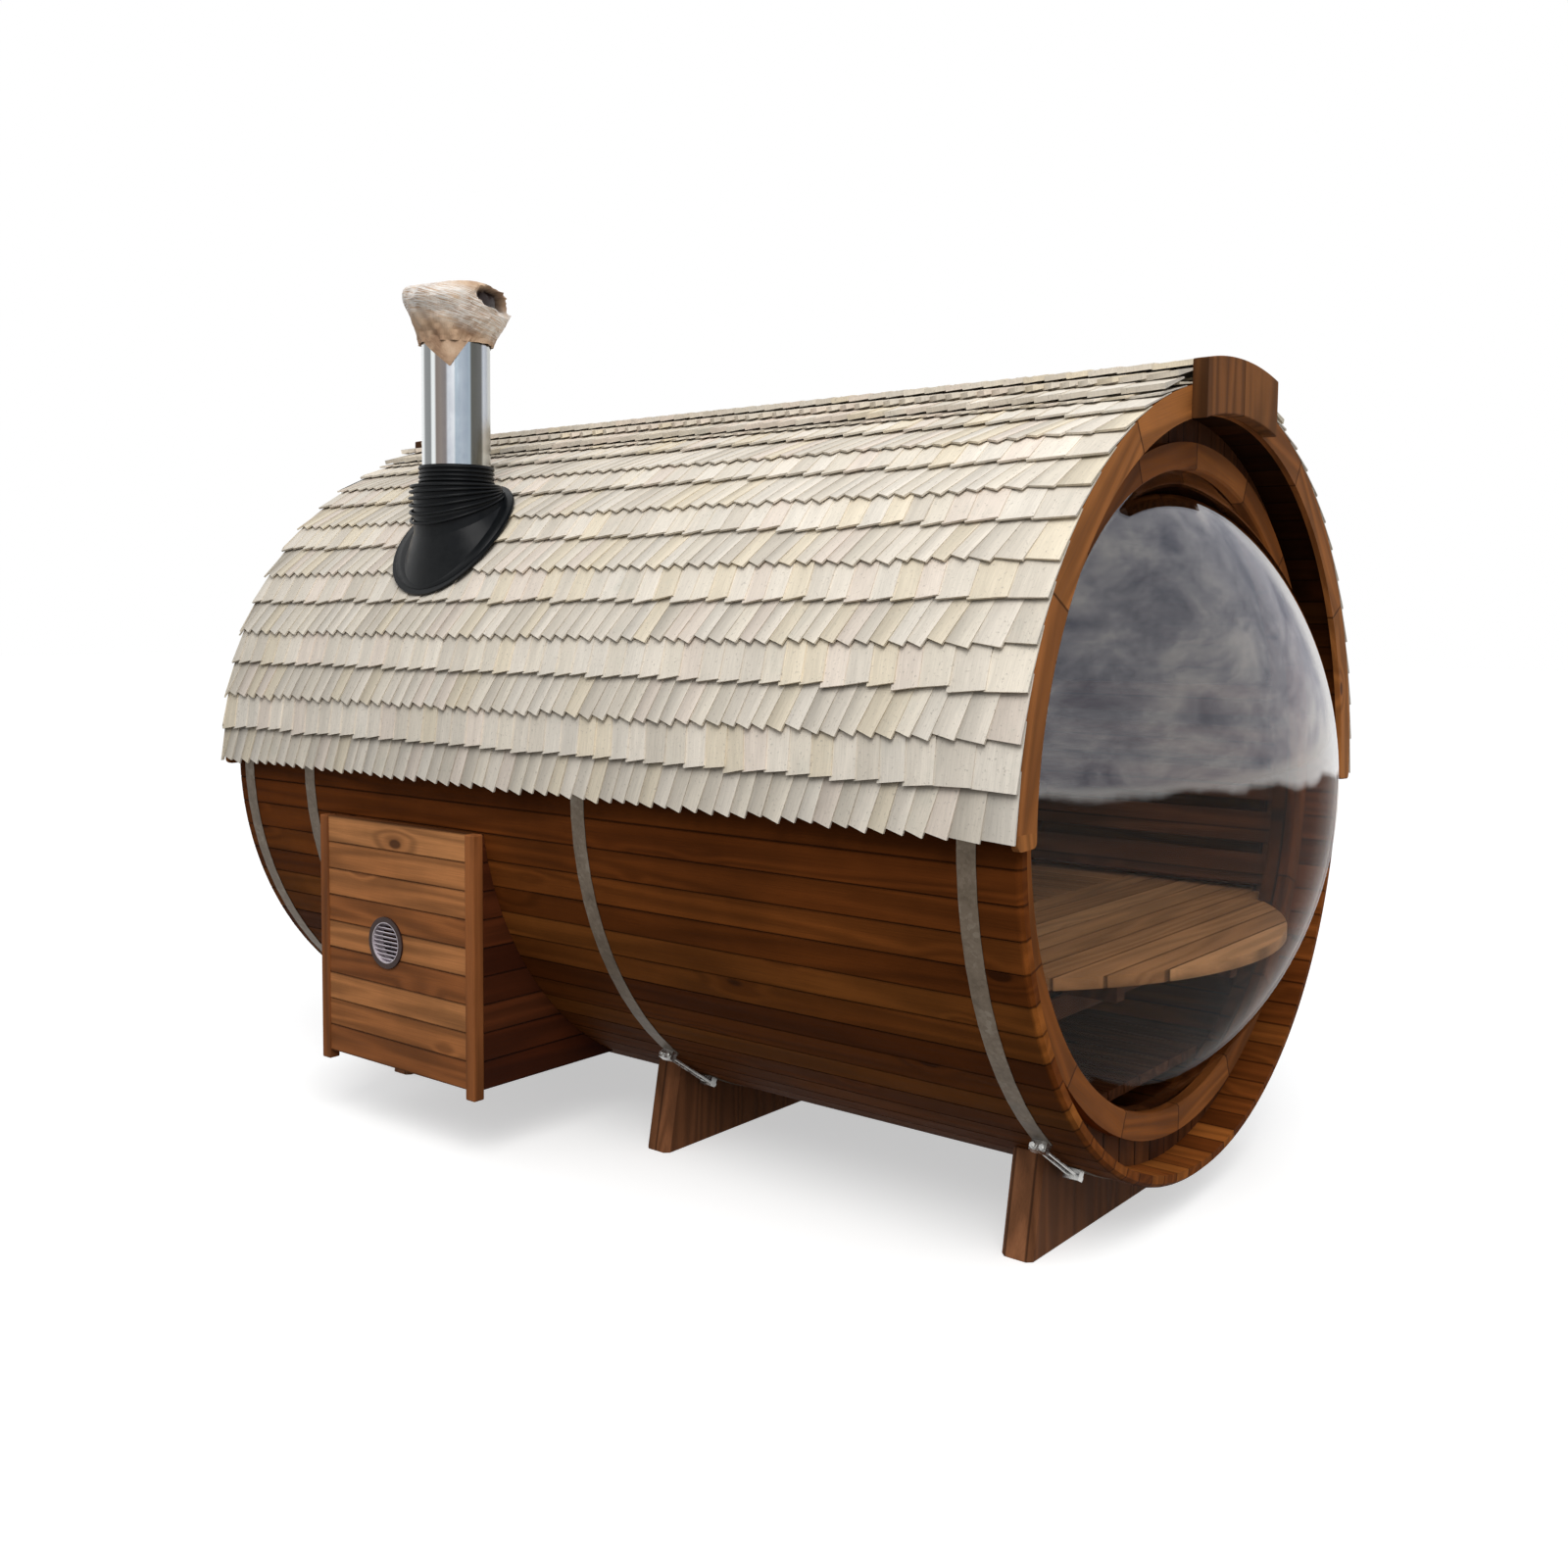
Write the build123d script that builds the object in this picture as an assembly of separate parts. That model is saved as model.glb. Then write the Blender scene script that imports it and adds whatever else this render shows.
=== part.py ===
from build123d import *
import math
import os

# Barrel sauna: a grooved stave barrel lying on three cradles, held by steel hoops with screw
# tensioners. The upper half carries a roof of wooden shingles, the front end is closed by a
# clear bubble in a segmented wooden ring, and a boarded stove box stands out of the left side.
# The model is drawn about the barrel's own axis: X to the right, Y from the front rim to the
# back, Z up. It is moved at the end so that the origin lies on the ground, under the middle.
# All sizes are in millimetres, all angles in degrees from +X towards +Z.

# Barrel
BARREL_RADIUS = 1050.0
BARREL_LENGTH = 3000.0
STAVE_THICKNESS = 33.0
PANEL_NAMES = [
    "barrel_right_upper",
    "barrel_top_right",
    "barrel_top_left",
    "barrel_left_upper",
    "barrel_left_lower",
    "barrel_bottom_left",
    "barrel_bottom_right",
    "barrel_right_lower",
]
STAVES_PER_PANEL = 10
GROOVE_WIDTH = 5.0
GROOVE_DEPTH = 3.0
RIM_BEVEL = 12.0

FULL_TURN = 360.0

# Fits between pieces
SEAT_GAP = 0.3
JOINT_GAP = 1.0

# Hoops and tensioners
HOOP_WIDTH = 50.0
HOOP_THICKNESS = 2.0
HOOP_FRONT_INSET = 134.0
HOOP_REAR_INSET = 410.0
HOOP_END_INSET = 70.0
TENSIONER_ANGLE = 236.5
TENSIONER_LENGTH = 238.0
LUG_LENGTH = 24.0
LUG_WIDTH = 44.0
LUG_HEIGHT = 27.0
ROD_RADIUS = 4.0
ROD_SPACING = 26.0
NUT_RADIUS = 8.0
NUT_LENGTH = 9.0

# Cradles
CRADLE_SEAT_HEIGHT = 95.0
CRADLE_THICKNESS = 90.0
CRADLE_BEHIND_HOOP = 40.0
CRADLE_TIP_ANGLE = 33.72
CRADLE_SPLAY = 51.0
CRADLE_CHAMFER = 12.0

# Roof
DECK_THICKNESS = 33.4
DECK_EAVE_ANGLE = -0.4
SHINGLE_EAVE_ANGLE = -1.2
SHINGLE_BUTT = 18.0
SHINGLE_TIP = 7.0
COURSE_COUNT = 16
RIDGE_HALF_WIDTH = 242.0
RIDGE_COURSES = 3
RIDGE_COURSE_TURN = 4.6
RIDGE_COURSE_RISE = 15.3
RIDGE_COURSE_FALL = 9.0

# Arched fascia boards and the board that closes the ridge
FASCIA_THICKNESS = 17.0
FASCIA_REVEAL = 13.0
FASCIA_TIP_ANGLE = -2.0
FASCIA_SEGMENTS = 6
FASCIA_TIP_RADIUS = 15.0
KEYSTONE_THICKNESS = 41.0

# End walls
WALL_THICKNESS = 40.0
WALL_INSET = 108.0
WALL_BOARD_PITCH = 95.0
WINDOW_MARGIN = 149.0

# Bubble window and its ring
BUBBLE_DEPTH = 385.5
BUBBLE_BANDS = 7
BUBBLE_THICKNESS = 6.0
BUBBLE_FLANGE_WIDTH = 57.0
RING_THICKNESS = 40.0
RING_WIDTH = 72.0
RING_CLEARANCE = 2.0
RING_SEGMENTS = 16
RING_BEVEL = 6.0

# Stove box on the left side
BOX_PROUD = 21.0
BOX_WIDTH = 740.0
BOX_REAR_INSET = 499.0
BOX_TOP_SHARE = 0.16
BOX_BOTTOM_SHARE = 0.88
BOX_BOARDS = 9
BOX_BOARD_THICKNESS = 33.0
POST_WIDTH = 40.0
POST_PROUD = 5.0
POST_DROP = 30.0
NICHE_LIP = 25.0
VENT_RADIUS = 80.0
VENT_HOLE_RADIUS = 64.0
VENT_OFFSET = 41.0
VENT_DROP = 370.0
VENT_FLANGE = 6.0
VENT_WALL = 3.0
VENT_SLATS = 9
VENT_SLAT_THICKNESS = 2.5
VENT_SLAT_TILT = 35.0

# Chimney
FLUE_RADIUS = 105.0
FLUE_WALL = 30.0
FLUE_SIDE_SHARE = 0.78
FLUE_BELOW_ROOF = 340.0
FLUE_ABOVE_ROOF = 672.0
FLUE_HOLE_CLEARANCE = 8.0
BOOT_HEIGHT = 187.0
BOOT_RUBBER = 5.0
BOOT_PIVOT_REACH = 28.0
BOOT_PIVOT_HEIGHT = 128.0
BOOT_PIVOT_OUT = 0.3
BOOT_PIVOT_DOWN = 0.4
BOOT_RIB_HEIGHT = 9.0
BOOT_RIB_PROUD = 4.0
BOOT_COLLAR_RIBS = 2
BOOT_BELLOWS = [(9.0, 128.0), (20.0, 144.0)]
BOOT_SKIRT_TILT = 30.0
BOOT_SKIRT_RADIUS = 152.0
BOOT_BASE_TILT = 46.5
BOOT_BASE_RADIUS = 212.0
BOOT_FLANGE_WIDTH = 16.0
WRAP_BELOW_TOP = 89.0
WRAP_ABOVE_TOP = 58.0
WRAP_NECK_RADIUS = 118.0
WRAP_RADIUS = 172.0
WRAP_CROWN_RADIUS = 146.0
WRAP_FOLDS = 12

# Benches
BENCH_DROP_SHARE = 0.3934
BENCH_BOARD = 30.0
BENCH_PITCH = 88.0
BENCH_GAP = 6.0
NOSE_CLEARANCE = 36.0
NOSE_SIDE_CLEARANCE = 63.0
NOSE_CORNER_RADIUS = 45.0
PLATFORM_BOARDS = 9
SIDE_BENCH_BOARDS = 8
BENCH_WALL_CLEARANCE = 6.0
BEARER_WIDTH = 45.0
BEARER_HEIGHT = 60.0
BEARER_SPACING = 450.0
SIDE_FRAME_COUNT = 4

# Backrest
SLAT_COUNT = 5
SLAT_WIDTH = 100.0
SLAT_GAP = 40.0
SLAT_THICKNESS = 22.0
BACKREST_POST_DEPTH = 80.0
BACKREST_START_ANGLE = -21.0

# Floor
FLOOR_OVER_SILL = 25.0
FLOOR_BOARD = 28.0
FLOOR_BOARD_WIDTH = 90.0
FLOOR_BOARD_GAP = 8.0
FLOOR_SIDE_MARGIN = 50.0
FLOOR_BEARER_HEIGHT = 45.0
FLOOR_BEARER_WIDTH = 60.0
FLOOR_BEARERS = 5
FLOOR_END_CLEARANCE = 15.0

# Door at the back
DOORWAY_WIDTH = 680.0
DOORWAY_BOTTOM_SHARE = 0.8065
DOORWAY_TOP_SHARE = 0.8557
FRAME_WIDTH = 40.0
FRAME_PROUD = 12.0
DOOR_GAP = 3.0
HINGE_HEIGHT = 60.0
HINGE_REACH = 70.0
HINGE_PLATE = 4.0
HINGE_PIN_RADIUS = 7.0
HANDLE_LENGTH = 320.0
HANDLE_BAR = 28.0
HANDLE_STANDOFF = 45.0

# Derived places
STAVE_PITCH = FULL_TURN / (len(PANEL_NAMES) * STAVES_PER_PANEL)
BARREL_INNER_RADIUS = BARREL_RADIUS - STAVE_THICKNESS
SEAT_RADIUS = BARREL_RADIUS + SEAT_GAP
LINING_RADIUS = BARREL_INNER_RADIUS - SEAT_GAP
HOOP_OUTER_RADIUS = SEAT_RADIUS + HOOP_THICKNESS
HOOP_FRONT_Y = HOOP_FRONT_INSET
HOOP_REAR_Y = BARREL_LENGTH - HOOP_REAR_INSET
HOOP_CENTRES = {
    "hoop_front": HOOP_FRONT_Y,
    "hoop_middle": (HOOP_FRONT_Y + HOOP_REAR_Y) / 2,
    "hoop_rear": HOOP_REAR_Y,
    "hoop_end": BARREL_LENGTH - HOOP_END_INSET,
}
CRADLED_HOOPS = {"cradle_front": "hoop_front", "cradle_middle": "hoop_middle", "cradle_rear": "hoop_rear"}
CRADLE_TIP_HALF = SEAT_RADIUS * math.sin(math.radians(CRADLE_TIP_ANGLE))
CRADLE_BASE_HALF = CRADLE_TIP_HALF + CRADLE_SPLAY
DECK_INNER_RADIUS = HOOP_OUTER_RADIUS + SEAT_GAP
DECK_OUTER_RADIUS = DECK_INNER_RADIUS + DECK_THICKNESS
FASCIA_INNER_RADIUS = BARREL_INNER_RADIUS - FASCIA_REVEAL
SHINGLE_INNER_RADIUS = DECK_OUTER_RADIUS + SEAT_GAP
BUTT_RADIUS = SHINGLE_INNER_RADIUS + SHINGLE_BUTT
TIP_RADIUS = SHINGLE_INNER_RADIUS + SHINGLE_TIP
RIDGE_INNER_RADIUS = BUTT_RADIUS + SEAT_GAP
RIDGE_OUTER_RADIUS = RIDGE_INNER_RADIUS + RIDGE_COURSES * RIDGE_COURSE_RISE
ROOF_FRONT_Y = -FASCIA_THICKNESS
ROOF_REAR_Y = BARREL_LENGTH + FASCIA_THICKNESS
FRONT_WALL_BACK = WALL_INSET + WALL_THICKNESS
REAR_WALL_OUT = BARREL_LENGTH - WALL_INSET
REAR_WALL_IN = REAR_WALL_OUT - WALL_THICKNESS
WINDOW_RADIUS = BARREL_INNER_RADIUS - WINDOW_MARGIN
RING_OUTER_RADIUS = WINDOW_RADIUS + RING_CLEARANCE + RING_WIDTH
BUBBLE_BASE_RADIUS = WINDOW_RADIUS
BUBBLE_RADIUS = (BUBBLE_BASE_RADIUS**2 + BUBBLE_DEPTH**2) / (2 * BUBBLE_DEPTH)
BUBBLE_CENTRE_Y = WALL_INSET - BUBBLE_DEPTH + BUBBLE_RADIUS
BUBBLE_INNER_RADIUS = BUBBLE_RADIUS - BUBBLE_THICKNESS
BUBBLE_FLANGE_RADIUS = BUBBLE_BASE_RADIUS + BUBBLE_FLANGE_WIDTH
BUBBLE_FLANGE_Y = WALL_INSET - BUBBLE_THICKNESS
BUBBLE_FRONT_Y = BUBBLE_CENTRE_Y - BUBBLE_RADIUS
RING_FRONT_Y = WALL_INSET - RING_THICKNESS
BOX_FAR_Y = BARREL_LENGTH - BOX_REAR_INSET
BOX_NEAR_Y = BOX_FAR_Y - BOX_WIDTH
BOX_MIDDLE_Y = (BOX_NEAR_Y + BOX_FAR_Y) / 2
BOX_FACE_X = -BARREL_RADIUS - BOX_PROUD
BOX_TOP = -BARREL_RADIUS * BOX_TOP_SHARE
BOX_BOTTOM = -BARREL_RADIUS * BOX_BOTTOM_SHARE
BOX_BOARD_HEIGHT = (BOX_TOP - BOX_BOTTOM) / BOX_BOARDS
VENT_HEIGHT = BOX_TOP - VENT_DROP
BOX_INNER_X = BOX_FACE_X + BOX_BOARD_THICKNESS
FLUE_Y = BOX_MIDDLE_Y
FLUE_X = -BARREL_RADIUS * FLUE_SIDE_SHARE
FLUE_HOLE_RADIUS = FLUE_RADIUS + FLUE_HOLE_CLEARANCE
ROOF_AT_FLUE = math.sqrt(BUTT_RADIUS**2 - FLUE_X**2)
FLUE_BOTTOM = ROOF_AT_FLUE - FLUE_BELOW_ROOF
FLUE_TOP = ROOF_AT_FLUE + FLUE_ABOVE_ROOF
BOOT_TOP = ROOF_AT_FLUE + BOOT_HEIGHT
WRAP_BOTTOM = FLUE_TOP - WRAP_BELOW_TOP
WRAP_TOP = FLUE_TOP + WRAP_ABOVE_TOP
BENCH_TOP = -LINING_RADIUS * BENCH_DROP_SHARE
BENCH_UNDERSIDE = BENCH_TOP - BENCH_BOARD
BENCH_HALF_WIDTH = math.sqrt(LINING_RADIUS**2 - BENCH_UNDERSIDE**2) - BENCH_WALL_CLEARANCE
NOSE_RADIUS = math.sqrt(BUBBLE_INNER_RADIUS**2 - BENCH_UNDERSIDE**2) - NOSE_CLEARANCE
NOSE_FRONT_Y = BUBBLE_CENTRE_Y - NOSE_RADIUS
NOSE_HALF_WIDTH = math.sqrt(WINDOW_RADIUS**2 - BENCH_UNDERSIDE**2) - NOSE_SIDE_CLEARANCE
PLATFORM_FRONT_Y = FRONT_WALL_BACK + BENCH_WALL_CLEARANCE
PLATFORM_BACK_Y = NOSE_FRONT_Y + PLATFORM_BOARDS * BENCH_PITCH - BENCH_GAP
SIDE_BENCH_FRONT_Y = PLATFORM_BACK_Y + BENCH_GAP
SIDE_BENCH_BACK_Y = REAR_WALL_IN - FRAME_PROUD - BENCH_WALL_CLEARANCE
SIDE_BENCH_INNER_X = BENCH_HALF_WIDTH - SIDE_BENCH_BOARDS * BENCH_PITCH + BENCH_GAP
BEARER_BOTTOM = BENCH_UNDERSIDE - BEARER_HEIGHT
BACKREST_FACE_RADIUS = LINING_RADIUS - BACKREST_POST_DEPTH
DOORWAY_BOTTOM = -LINING_RADIUS * DOORWAY_BOTTOM_SHARE
DOORWAY_TOP = LINING_RADIUS * DOORWAY_TOP_SHARE
FLOOR_TOP = DOORWAY_BOTTOM + FLOOR_OVER_SILL
FLOOR_UNDERSIDE = FLOOR_TOP - FLOOR_BOARD
FLOOR_HALF_WIDTH = math.sqrt(LINING_RADIUS**2 - FLOOR_UNDERSIDE**2) - FLOOR_SIDE_MARGIN
FLOOR_BOARDS = int(2 * FLOOR_HALF_WIDTH / (FLOOR_BOARD_WIDTH + FLOOR_BOARD_GAP))
DOOR_HALF_WIDTH = DOORWAY_WIDTH / 2 - FRAME_WIDTH - DOOR_GAP
DOOR_BOTTOM = DOORWAY_BOTTOM + FRAME_WIDTH + DOOR_GAP
DOOR_TOP = DOORWAY_TOP - FRAME_WIDTH - DOOR_GAP
DOOR_OUT_Y = REAR_WALL_OUT + FRAME_PROUD
AXIS_HEIGHT = SEAT_RADIUS + CRADLE_SEAT_HEIGHT
ORIGIN_SHIFT_Y = -(BUBBLE_FRONT_Y + ROOF_REAR_Y + KEYSTONE_THICKNESS) / 2
PLACE = Pos(0, ORIGIN_SHIFT_Y, AXIS_HEIGHT)


def save(name, shape):
    """Move a node from the barrel's axis to the ground and write it."""
    export_step(PLACE * shape, f"parts/{name}.step")


def polar(radius, angle):
    """Point in the X and Z plane."""
    return (radius * math.cos(math.radians(angle)), radius * math.sin(math.radians(angle)))


def along_y(sketch, near, far):
    """Push a sketch drawn in X and Z from one Y to another."""
    return extrude(Plane(origin=(0, far, 0), x_dir=(1, 0, 0), z_dir=(0, -1, 0)) * sketch, far - near)


def along_x(sketch, low, high):
    """Push a sketch drawn in Y and Z from one X to another."""
    return extrude(Plane(origin=(low, 0, 0), x_dir=(0, 1, 0), z_dir=(1, 0, 0)) * sketch, high - low)


def block(low, high):
    """Box between two corners."""
    size = [b - a for a, b in zip(low, high)]
    middle = [(a + b) / 2 for a, b in zip(low, high)]
    return Pos(*middle) * Box(*size)


def drum(radius, near, far):
    """Cylinder about the barrel's axis."""
    return along_y(Circle(radius), near, far)


def upright(x, y, radius, bottom, top):
    """Vertical cylinder."""
    return Pos(x, y, (bottom + top) / 2) * Cylinder(radius, top - bottom)


def sector(inner, outer, start, end):
    """Flat part of a ring, between two radii and two angles."""
    inner_arc = CenterArc((0, 0), inner, start, end - start)
    outer_arc = CenterArc((0, 0), outer, start, end - start)
    sides = [Line(inner_arc @ 0, outer_arc @ 0), Line(inner_arc @ 1, outer_arc @ 1)]
    return make_face([inner_arc, outer_arc] + sides)


def joined(pieces):
    """Several solids in one shape."""
    total = Part()
    for piece in pieces:
        total += piece
    return total


def grooved_line(start, end, pitch, face, depth):
    """Points along a board face, with a V-joint at each seam. Depth points into the boards."""
    points = [(start, face)]
    count = max(1, round(abs(end - start) / pitch))
    step = (end - start) / count
    half = math.copysign(GROOVE_WIDTH / 2, step)
    for seam in range(1, count):
        at = start + seam * step
        points += [(at - half, face), (at, face + depth), (at + half, face)]
    return points + [(end, face)]


def wall_boards(left, right, outside, inside, pitch=WALL_BOARD_PITCH):
    """Vertical boards side by side, grooved on the outside, taller than the barrel."""
    depth = math.copysign(GROOVE_DEPTH, inside - outside)
    outline = grooved_line(left, right, pitch, outside, depth) + [(right, inside), (left, inside)]
    slab = extrude(make_face(Polyline(*outline, close=True)), 2 * BARREL_RADIUS)
    return Pos(0, 0, -BARREL_RADIUS) * slab


def stave_profile(start):
    """Cross-section of a panel of flat-faced staves, with a V-joint at each outer seam."""
    half_groove = math.degrees(GROOVE_WIDTH / 2 / BARREL_RADIUS)
    groove_radius = BARREL_RADIUS - GROOVE_DEPTH
    points = [polar(groove_radius, start)]
    for index in range(STAVES_PER_PANEL):
        low = start + index * STAVE_PITCH
        high = low + STAVE_PITCH
        points.append(polar(BARREL_RADIUS, low + half_groove))
        points.append(polar(BARREL_RADIUS, high - half_groove))
        points.append(polar(groove_radius, high))
    outer = Polyline(*points)
    inner = CenterArc((0, 0), BARREL_INNER_RADIUS, start, STAVES_PER_PANEL * STAVE_PITCH)
    sides = [Line(inner @ 0, outer @ 0), Line(inner @ 1, outer @ 1)]
    return make_face([inner] + list(outer.edges()) + sides)


def rim_cutter():
    """Ring that bevels the outer edge of the barrel's front rim."""
    low = BARREL_RADIUS - RIM_BEVEL
    points = [(low - 1, -1), (BARREL_RADIUS + 1, -1), (BARREL_RADIUS + 1, RIM_BEVEL + 1)]
    return revolve(make_face(Polyline(*points, close=True)), axis=Axis.Y)


def flue_hole():
    """Round hole for the chimney, through the upper left of the shell and roof."""
    return upright(FLUE_X, FLUE_Y, FLUE_HOLE_RADIUS, 0, RIDGE_OUTER_RADIUS)


def niche_opening():
    """Hole in the barrel behind the stove box."""
    near = BOX_NEAR_Y + BOX_BOARD_THICKNESS + NICHE_LIP
    far = BOX_FAR_Y - BOX_BOARD_THICKNESS - NICHE_LIP
    bottom = BOX_BOTTOM + BOX_BOARD_THICKNESS + 8 * NICHE_LIP
    return block((BOX_FACE_X, near, bottom), (BOX_FACE_X / 2, far, BOX_TOP - 2 * NICHE_LIP))


def make_barrel():
    front_bevel = rim_cutter()
    rear_bevel = Pos(0, BARREL_LENGTH, 0) * mirror(front_bevel, about=Plane.XZ)
    for index, name in enumerate(PANEL_NAMES):
        panel = along_y(stave_profile(index * STAVES_PER_PANEL * STAVE_PITCH), 0, BARREL_LENGTH)
        panel = panel - front_bevel - rear_bevel
        if name in ("barrel_top_left", "barrel_left_upper"):
            panel = panel - flue_hole()
        if name == "barrel_left_lower":
            panel = panel - niche_opening()
        save(name, panel)


def tensioner(centre_y):
    """Two lugs on the ends of a hoop, drawn together by two threaded rods with nuts."""
    reach = (TENSIONER_LENGTH - LUG_LENGTH) / 2
    turn = math.degrees(reach / BARREL_RADIUS)
    base = HOOP_OUTER_RADIUS + SEAT_GAP
    lug = Pos(base + LUG_HEIGHT / 2, centre_y, 0) * Box(LUG_HEIGHT, LUG_WIDTH, LUG_LENGTH)
    pieces = [Rot(0, -TENSIONER_ANGLE - side * turn, 0) * lug for side in (-1, 1)]
    rod_x = base + LUG_HEIGHT * 0.6 - BARREL_RADIUS * (1 - math.cos(math.radians(turn)))
    rod_half = reach + LUG_LENGTH
    rod = RegularPolygon(ROD_RADIUS, 6)
    nut = RegularPolygon(NUT_RADIUS, 6)
    middle = Rot(0, -TENSIONER_ANGLE, 0)
    for side in (-1, 1):
        y = centre_y + side * ROD_SPACING / 2
        pieces.append(middle * Pos(rod_x, y, -rod_half) * extrude(rod, 2 * rod_half))
        for low in (-reach - LUG_LENGTH / 2 - NUT_LENGTH, reach + LUG_LENGTH / 2):
            pieces.append(middle * Pos(rod_x, y, low) * extrude(nut, NUT_LENGTH))
    return joined(pieces)


def band_profile(start, end):
    """Cross-section of a steel band, which bends over each seam of the staves."""
    first = math.floor(start / STAVE_PITCH) + 1
    last = math.ceil(end / STAVE_PITCH)
    turns = [start] + [seam * STAVE_PITCH for seam in range(first, last)] + [end]
    points = [polar(SEAT_RADIUS, turn) for turn in turns]
    points += [polar(HOOP_OUTER_RADIUS, turn) for turn in reversed(turns)]
    return make_face(Polyline(*points, close=True))


def make_hoops():
    half_turn = math.degrees((TENSIONER_LENGTH / 2 - LUG_LENGTH) / BARREL_RADIUS)
    band = band_profile(TENSIONER_ANGLE + half_turn, TENSIONER_ANGLE - half_turn + FULL_TURN)
    for name, centre_y in HOOP_CENTRES.items():
        save(name, along_y(band, centre_y - HOOP_WIDTH / 2, centre_y + HOOP_WIDTH / 2))
    save("hoop_tensioners", joined(tensioner(centre_y) for centre_y in HOOP_CENTRES.values()))


def make_cradles():
    base = -AXIS_HEIGHT
    tip = -math.sqrt(SEAT_RADIUS**2 - CRADLE_TIP_HALF**2)
    outline = [(-CRADLE_BASE_HALF, base), (CRADLE_BASE_HALF, base), (CRADLE_TIP_HALF, tip), (-CRADLE_TIP_HALF, tip)]
    profile = make_face(Polyline(*outline, close=True))
    for name, hoop in CRADLED_HOOPS.items():
        near = HOOP_CENTRES[hoop] + CRADLE_BEHIND_HOOP
        far = near + CRADLE_THICKNESS
        beam = along_y(profile, near, far)
        uprights = [edge for edge in beam.edges() if CRADLE_TIP_HALF < abs(edge.center().X) < CRADLE_BASE_HALF]
        beam = chamfer(uprights, CRADLE_CHAMFER)
        save(name, beam - drum(SEAT_RADIUS, near - 1, far + 1))


def shingle_profile():
    """Cross-section of the right slope: flat courses, each lapping over the one below it."""
    step = (90 - SHINGLE_EAVE_ANGLE) / COURSE_COUNT
    points = []
    for course in range(COURSE_COUNT):
        low = SHINGLE_EAVE_ANGLE + course * step
        points.append(polar(BUTT_RADIUS, low))
        points.append(polar(TIP_RADIUS, low + step))
    inner = CenterArc((0, 0), SHINGLE_INNER_RADIUS, SHINGLE_EAVE_ANGLE, 90 - SHINGLE_EAVE_ANGLE)
    outer = Polyline(*points)
    sides = [Line(inner @ 0, outer @ 0), Line(inner @ 1, outer @ 1)]
    return make_face([inner] + list(outer.edges()) + sides)


def ridge_profile():
    """Cross-section of the ridge: short courses that step up to a flat cap."""
    cap_turn = math.degrees(math.asin(RIDGE_HALF_WIDTH / RIDGE_OUTER_RADIUS))
    right = []
    for course in range(RIDGE_COURSES):
        low = 90 - cap_turn - (RIDGE_COURSES - 1 - course) * RIDGE_COURSE_TURN
        high = 90 if course == RIDGE_COURSES - 1 else low + RIDGE_COURSE_TURN
        radius = RIDGE_INNER_RADIUS + (course + 1) * RIDGE_COURSE_RISE
        right.append(polar(radius, low))
        right.append(polar(radius - RIDGE_COURSE_FALL * (high < 90), high))
    left = [(-x, z) for x, z in reversed(right[:-1])]
    foot = cap_turn + (RIDGE_COURSES - 1) * RIDGE_COURSE_TURN
    inner = CenterArc((0, 0), RIDGE_INNER_RADIUS, 90 - foot, 2 * foot)
    outer = Polyline(*right, *left)
    sides = [Line(inner @ 0, outer @ 0), Line(inner @ 1, outer @ 1)]
    return make_face([inner] + list(outer.edges()) + sides)


def make_roof():
    deck = sector(DECK_INNER_RADIUS, DECK_OUTER_RADIUS, DECK_EAVE_ANGLE, 180 - DECK_EAVE_ANGLE)
    save("roof_deck", along_y(deck, 0, BARREL_LENGTH) - flue_hole())
    right = along_y(shingle_profile(), ROOF_FRONT_Y, ROOF_REAR_Y)
    save("shingles_right", right)
    save("shingles_left", mirror(right, about=Plane.YZ) - flue_hole())
    save("ridge_cap", along_y(ridge_profile(), ROOF_FRONT_Y, ROOF_REAR_Y))


def fascia_arch():
    """Arch of sawn segments, with rounded tips at the eaves."""
    turn = (180 - 2 * FASCIA_TIP_ANGLE) / FASCIA_SEGMENTS
    gap = math.degrees(JOINT_GAP / 2 / DECK_OUTER_RADIUS)
    segments = []
    for index in range(FASCIA_SEGMENTS):
        low = FASCIA_TIP_ANGLE + index * turn
        segment = sector(FASCIA_INNER_RADIUS, DECK_OUTER_RADIUS, low + gap, low + turn - gap)
        if index in (0, FASCIA_SEGMENTS - 1):
            segment = fillet(segment.vertices().sort_by(Axis.Y)[:2], FASCIA_TIP_RADIUS)
        segments.append(along_y(segment, ROOF_FRONT_Y, 0))
    return joined(segments)


def keystone():
    """Two upright boards that close the front end of the ridge."""
    half_turn = math.degrees(math.asin(RIDGE_HALF_WIDTH / FASCIA_INNER_RADIUS))
    face = sector(FASCIA_INNER_RADIUS, RIDGE_OUTER_RADIUS, 90 - half_turn, 90 + half_turn)
    height = 2 * RIDGE_OUTER_RADIUS
    boards = []
    for side in (-1, 1):
        width = RIDGE_HALF_WIDTH - JOINT_GAP / 2
        middle = side * (RIDGE_HALF_WIDTH + JOINT_GAP / 2) / 2
        boards.append(face & Pos(middle, 0) * Rectangle(width, height))
    return joined(along_y(board, ROOF_FRONT_Y - KEYSTONE_THICKNESS, ROOF_FRONT_Y) for board in boards)


def at_back(shape):
    """The same piece at the other end of the barrel."""
    return Pos(0, BARREL_LENGTH, 0) * mirror(shape, about=Plane.XZ)


def make_fascias():
    arch = fascia_arch()
    save("front_fascia", arch)
    save("rear_fascia", at_back(arch))
    board = keystone()
    save("front_keystone", board)
    save("rear_keystone", at_back(board))


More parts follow.
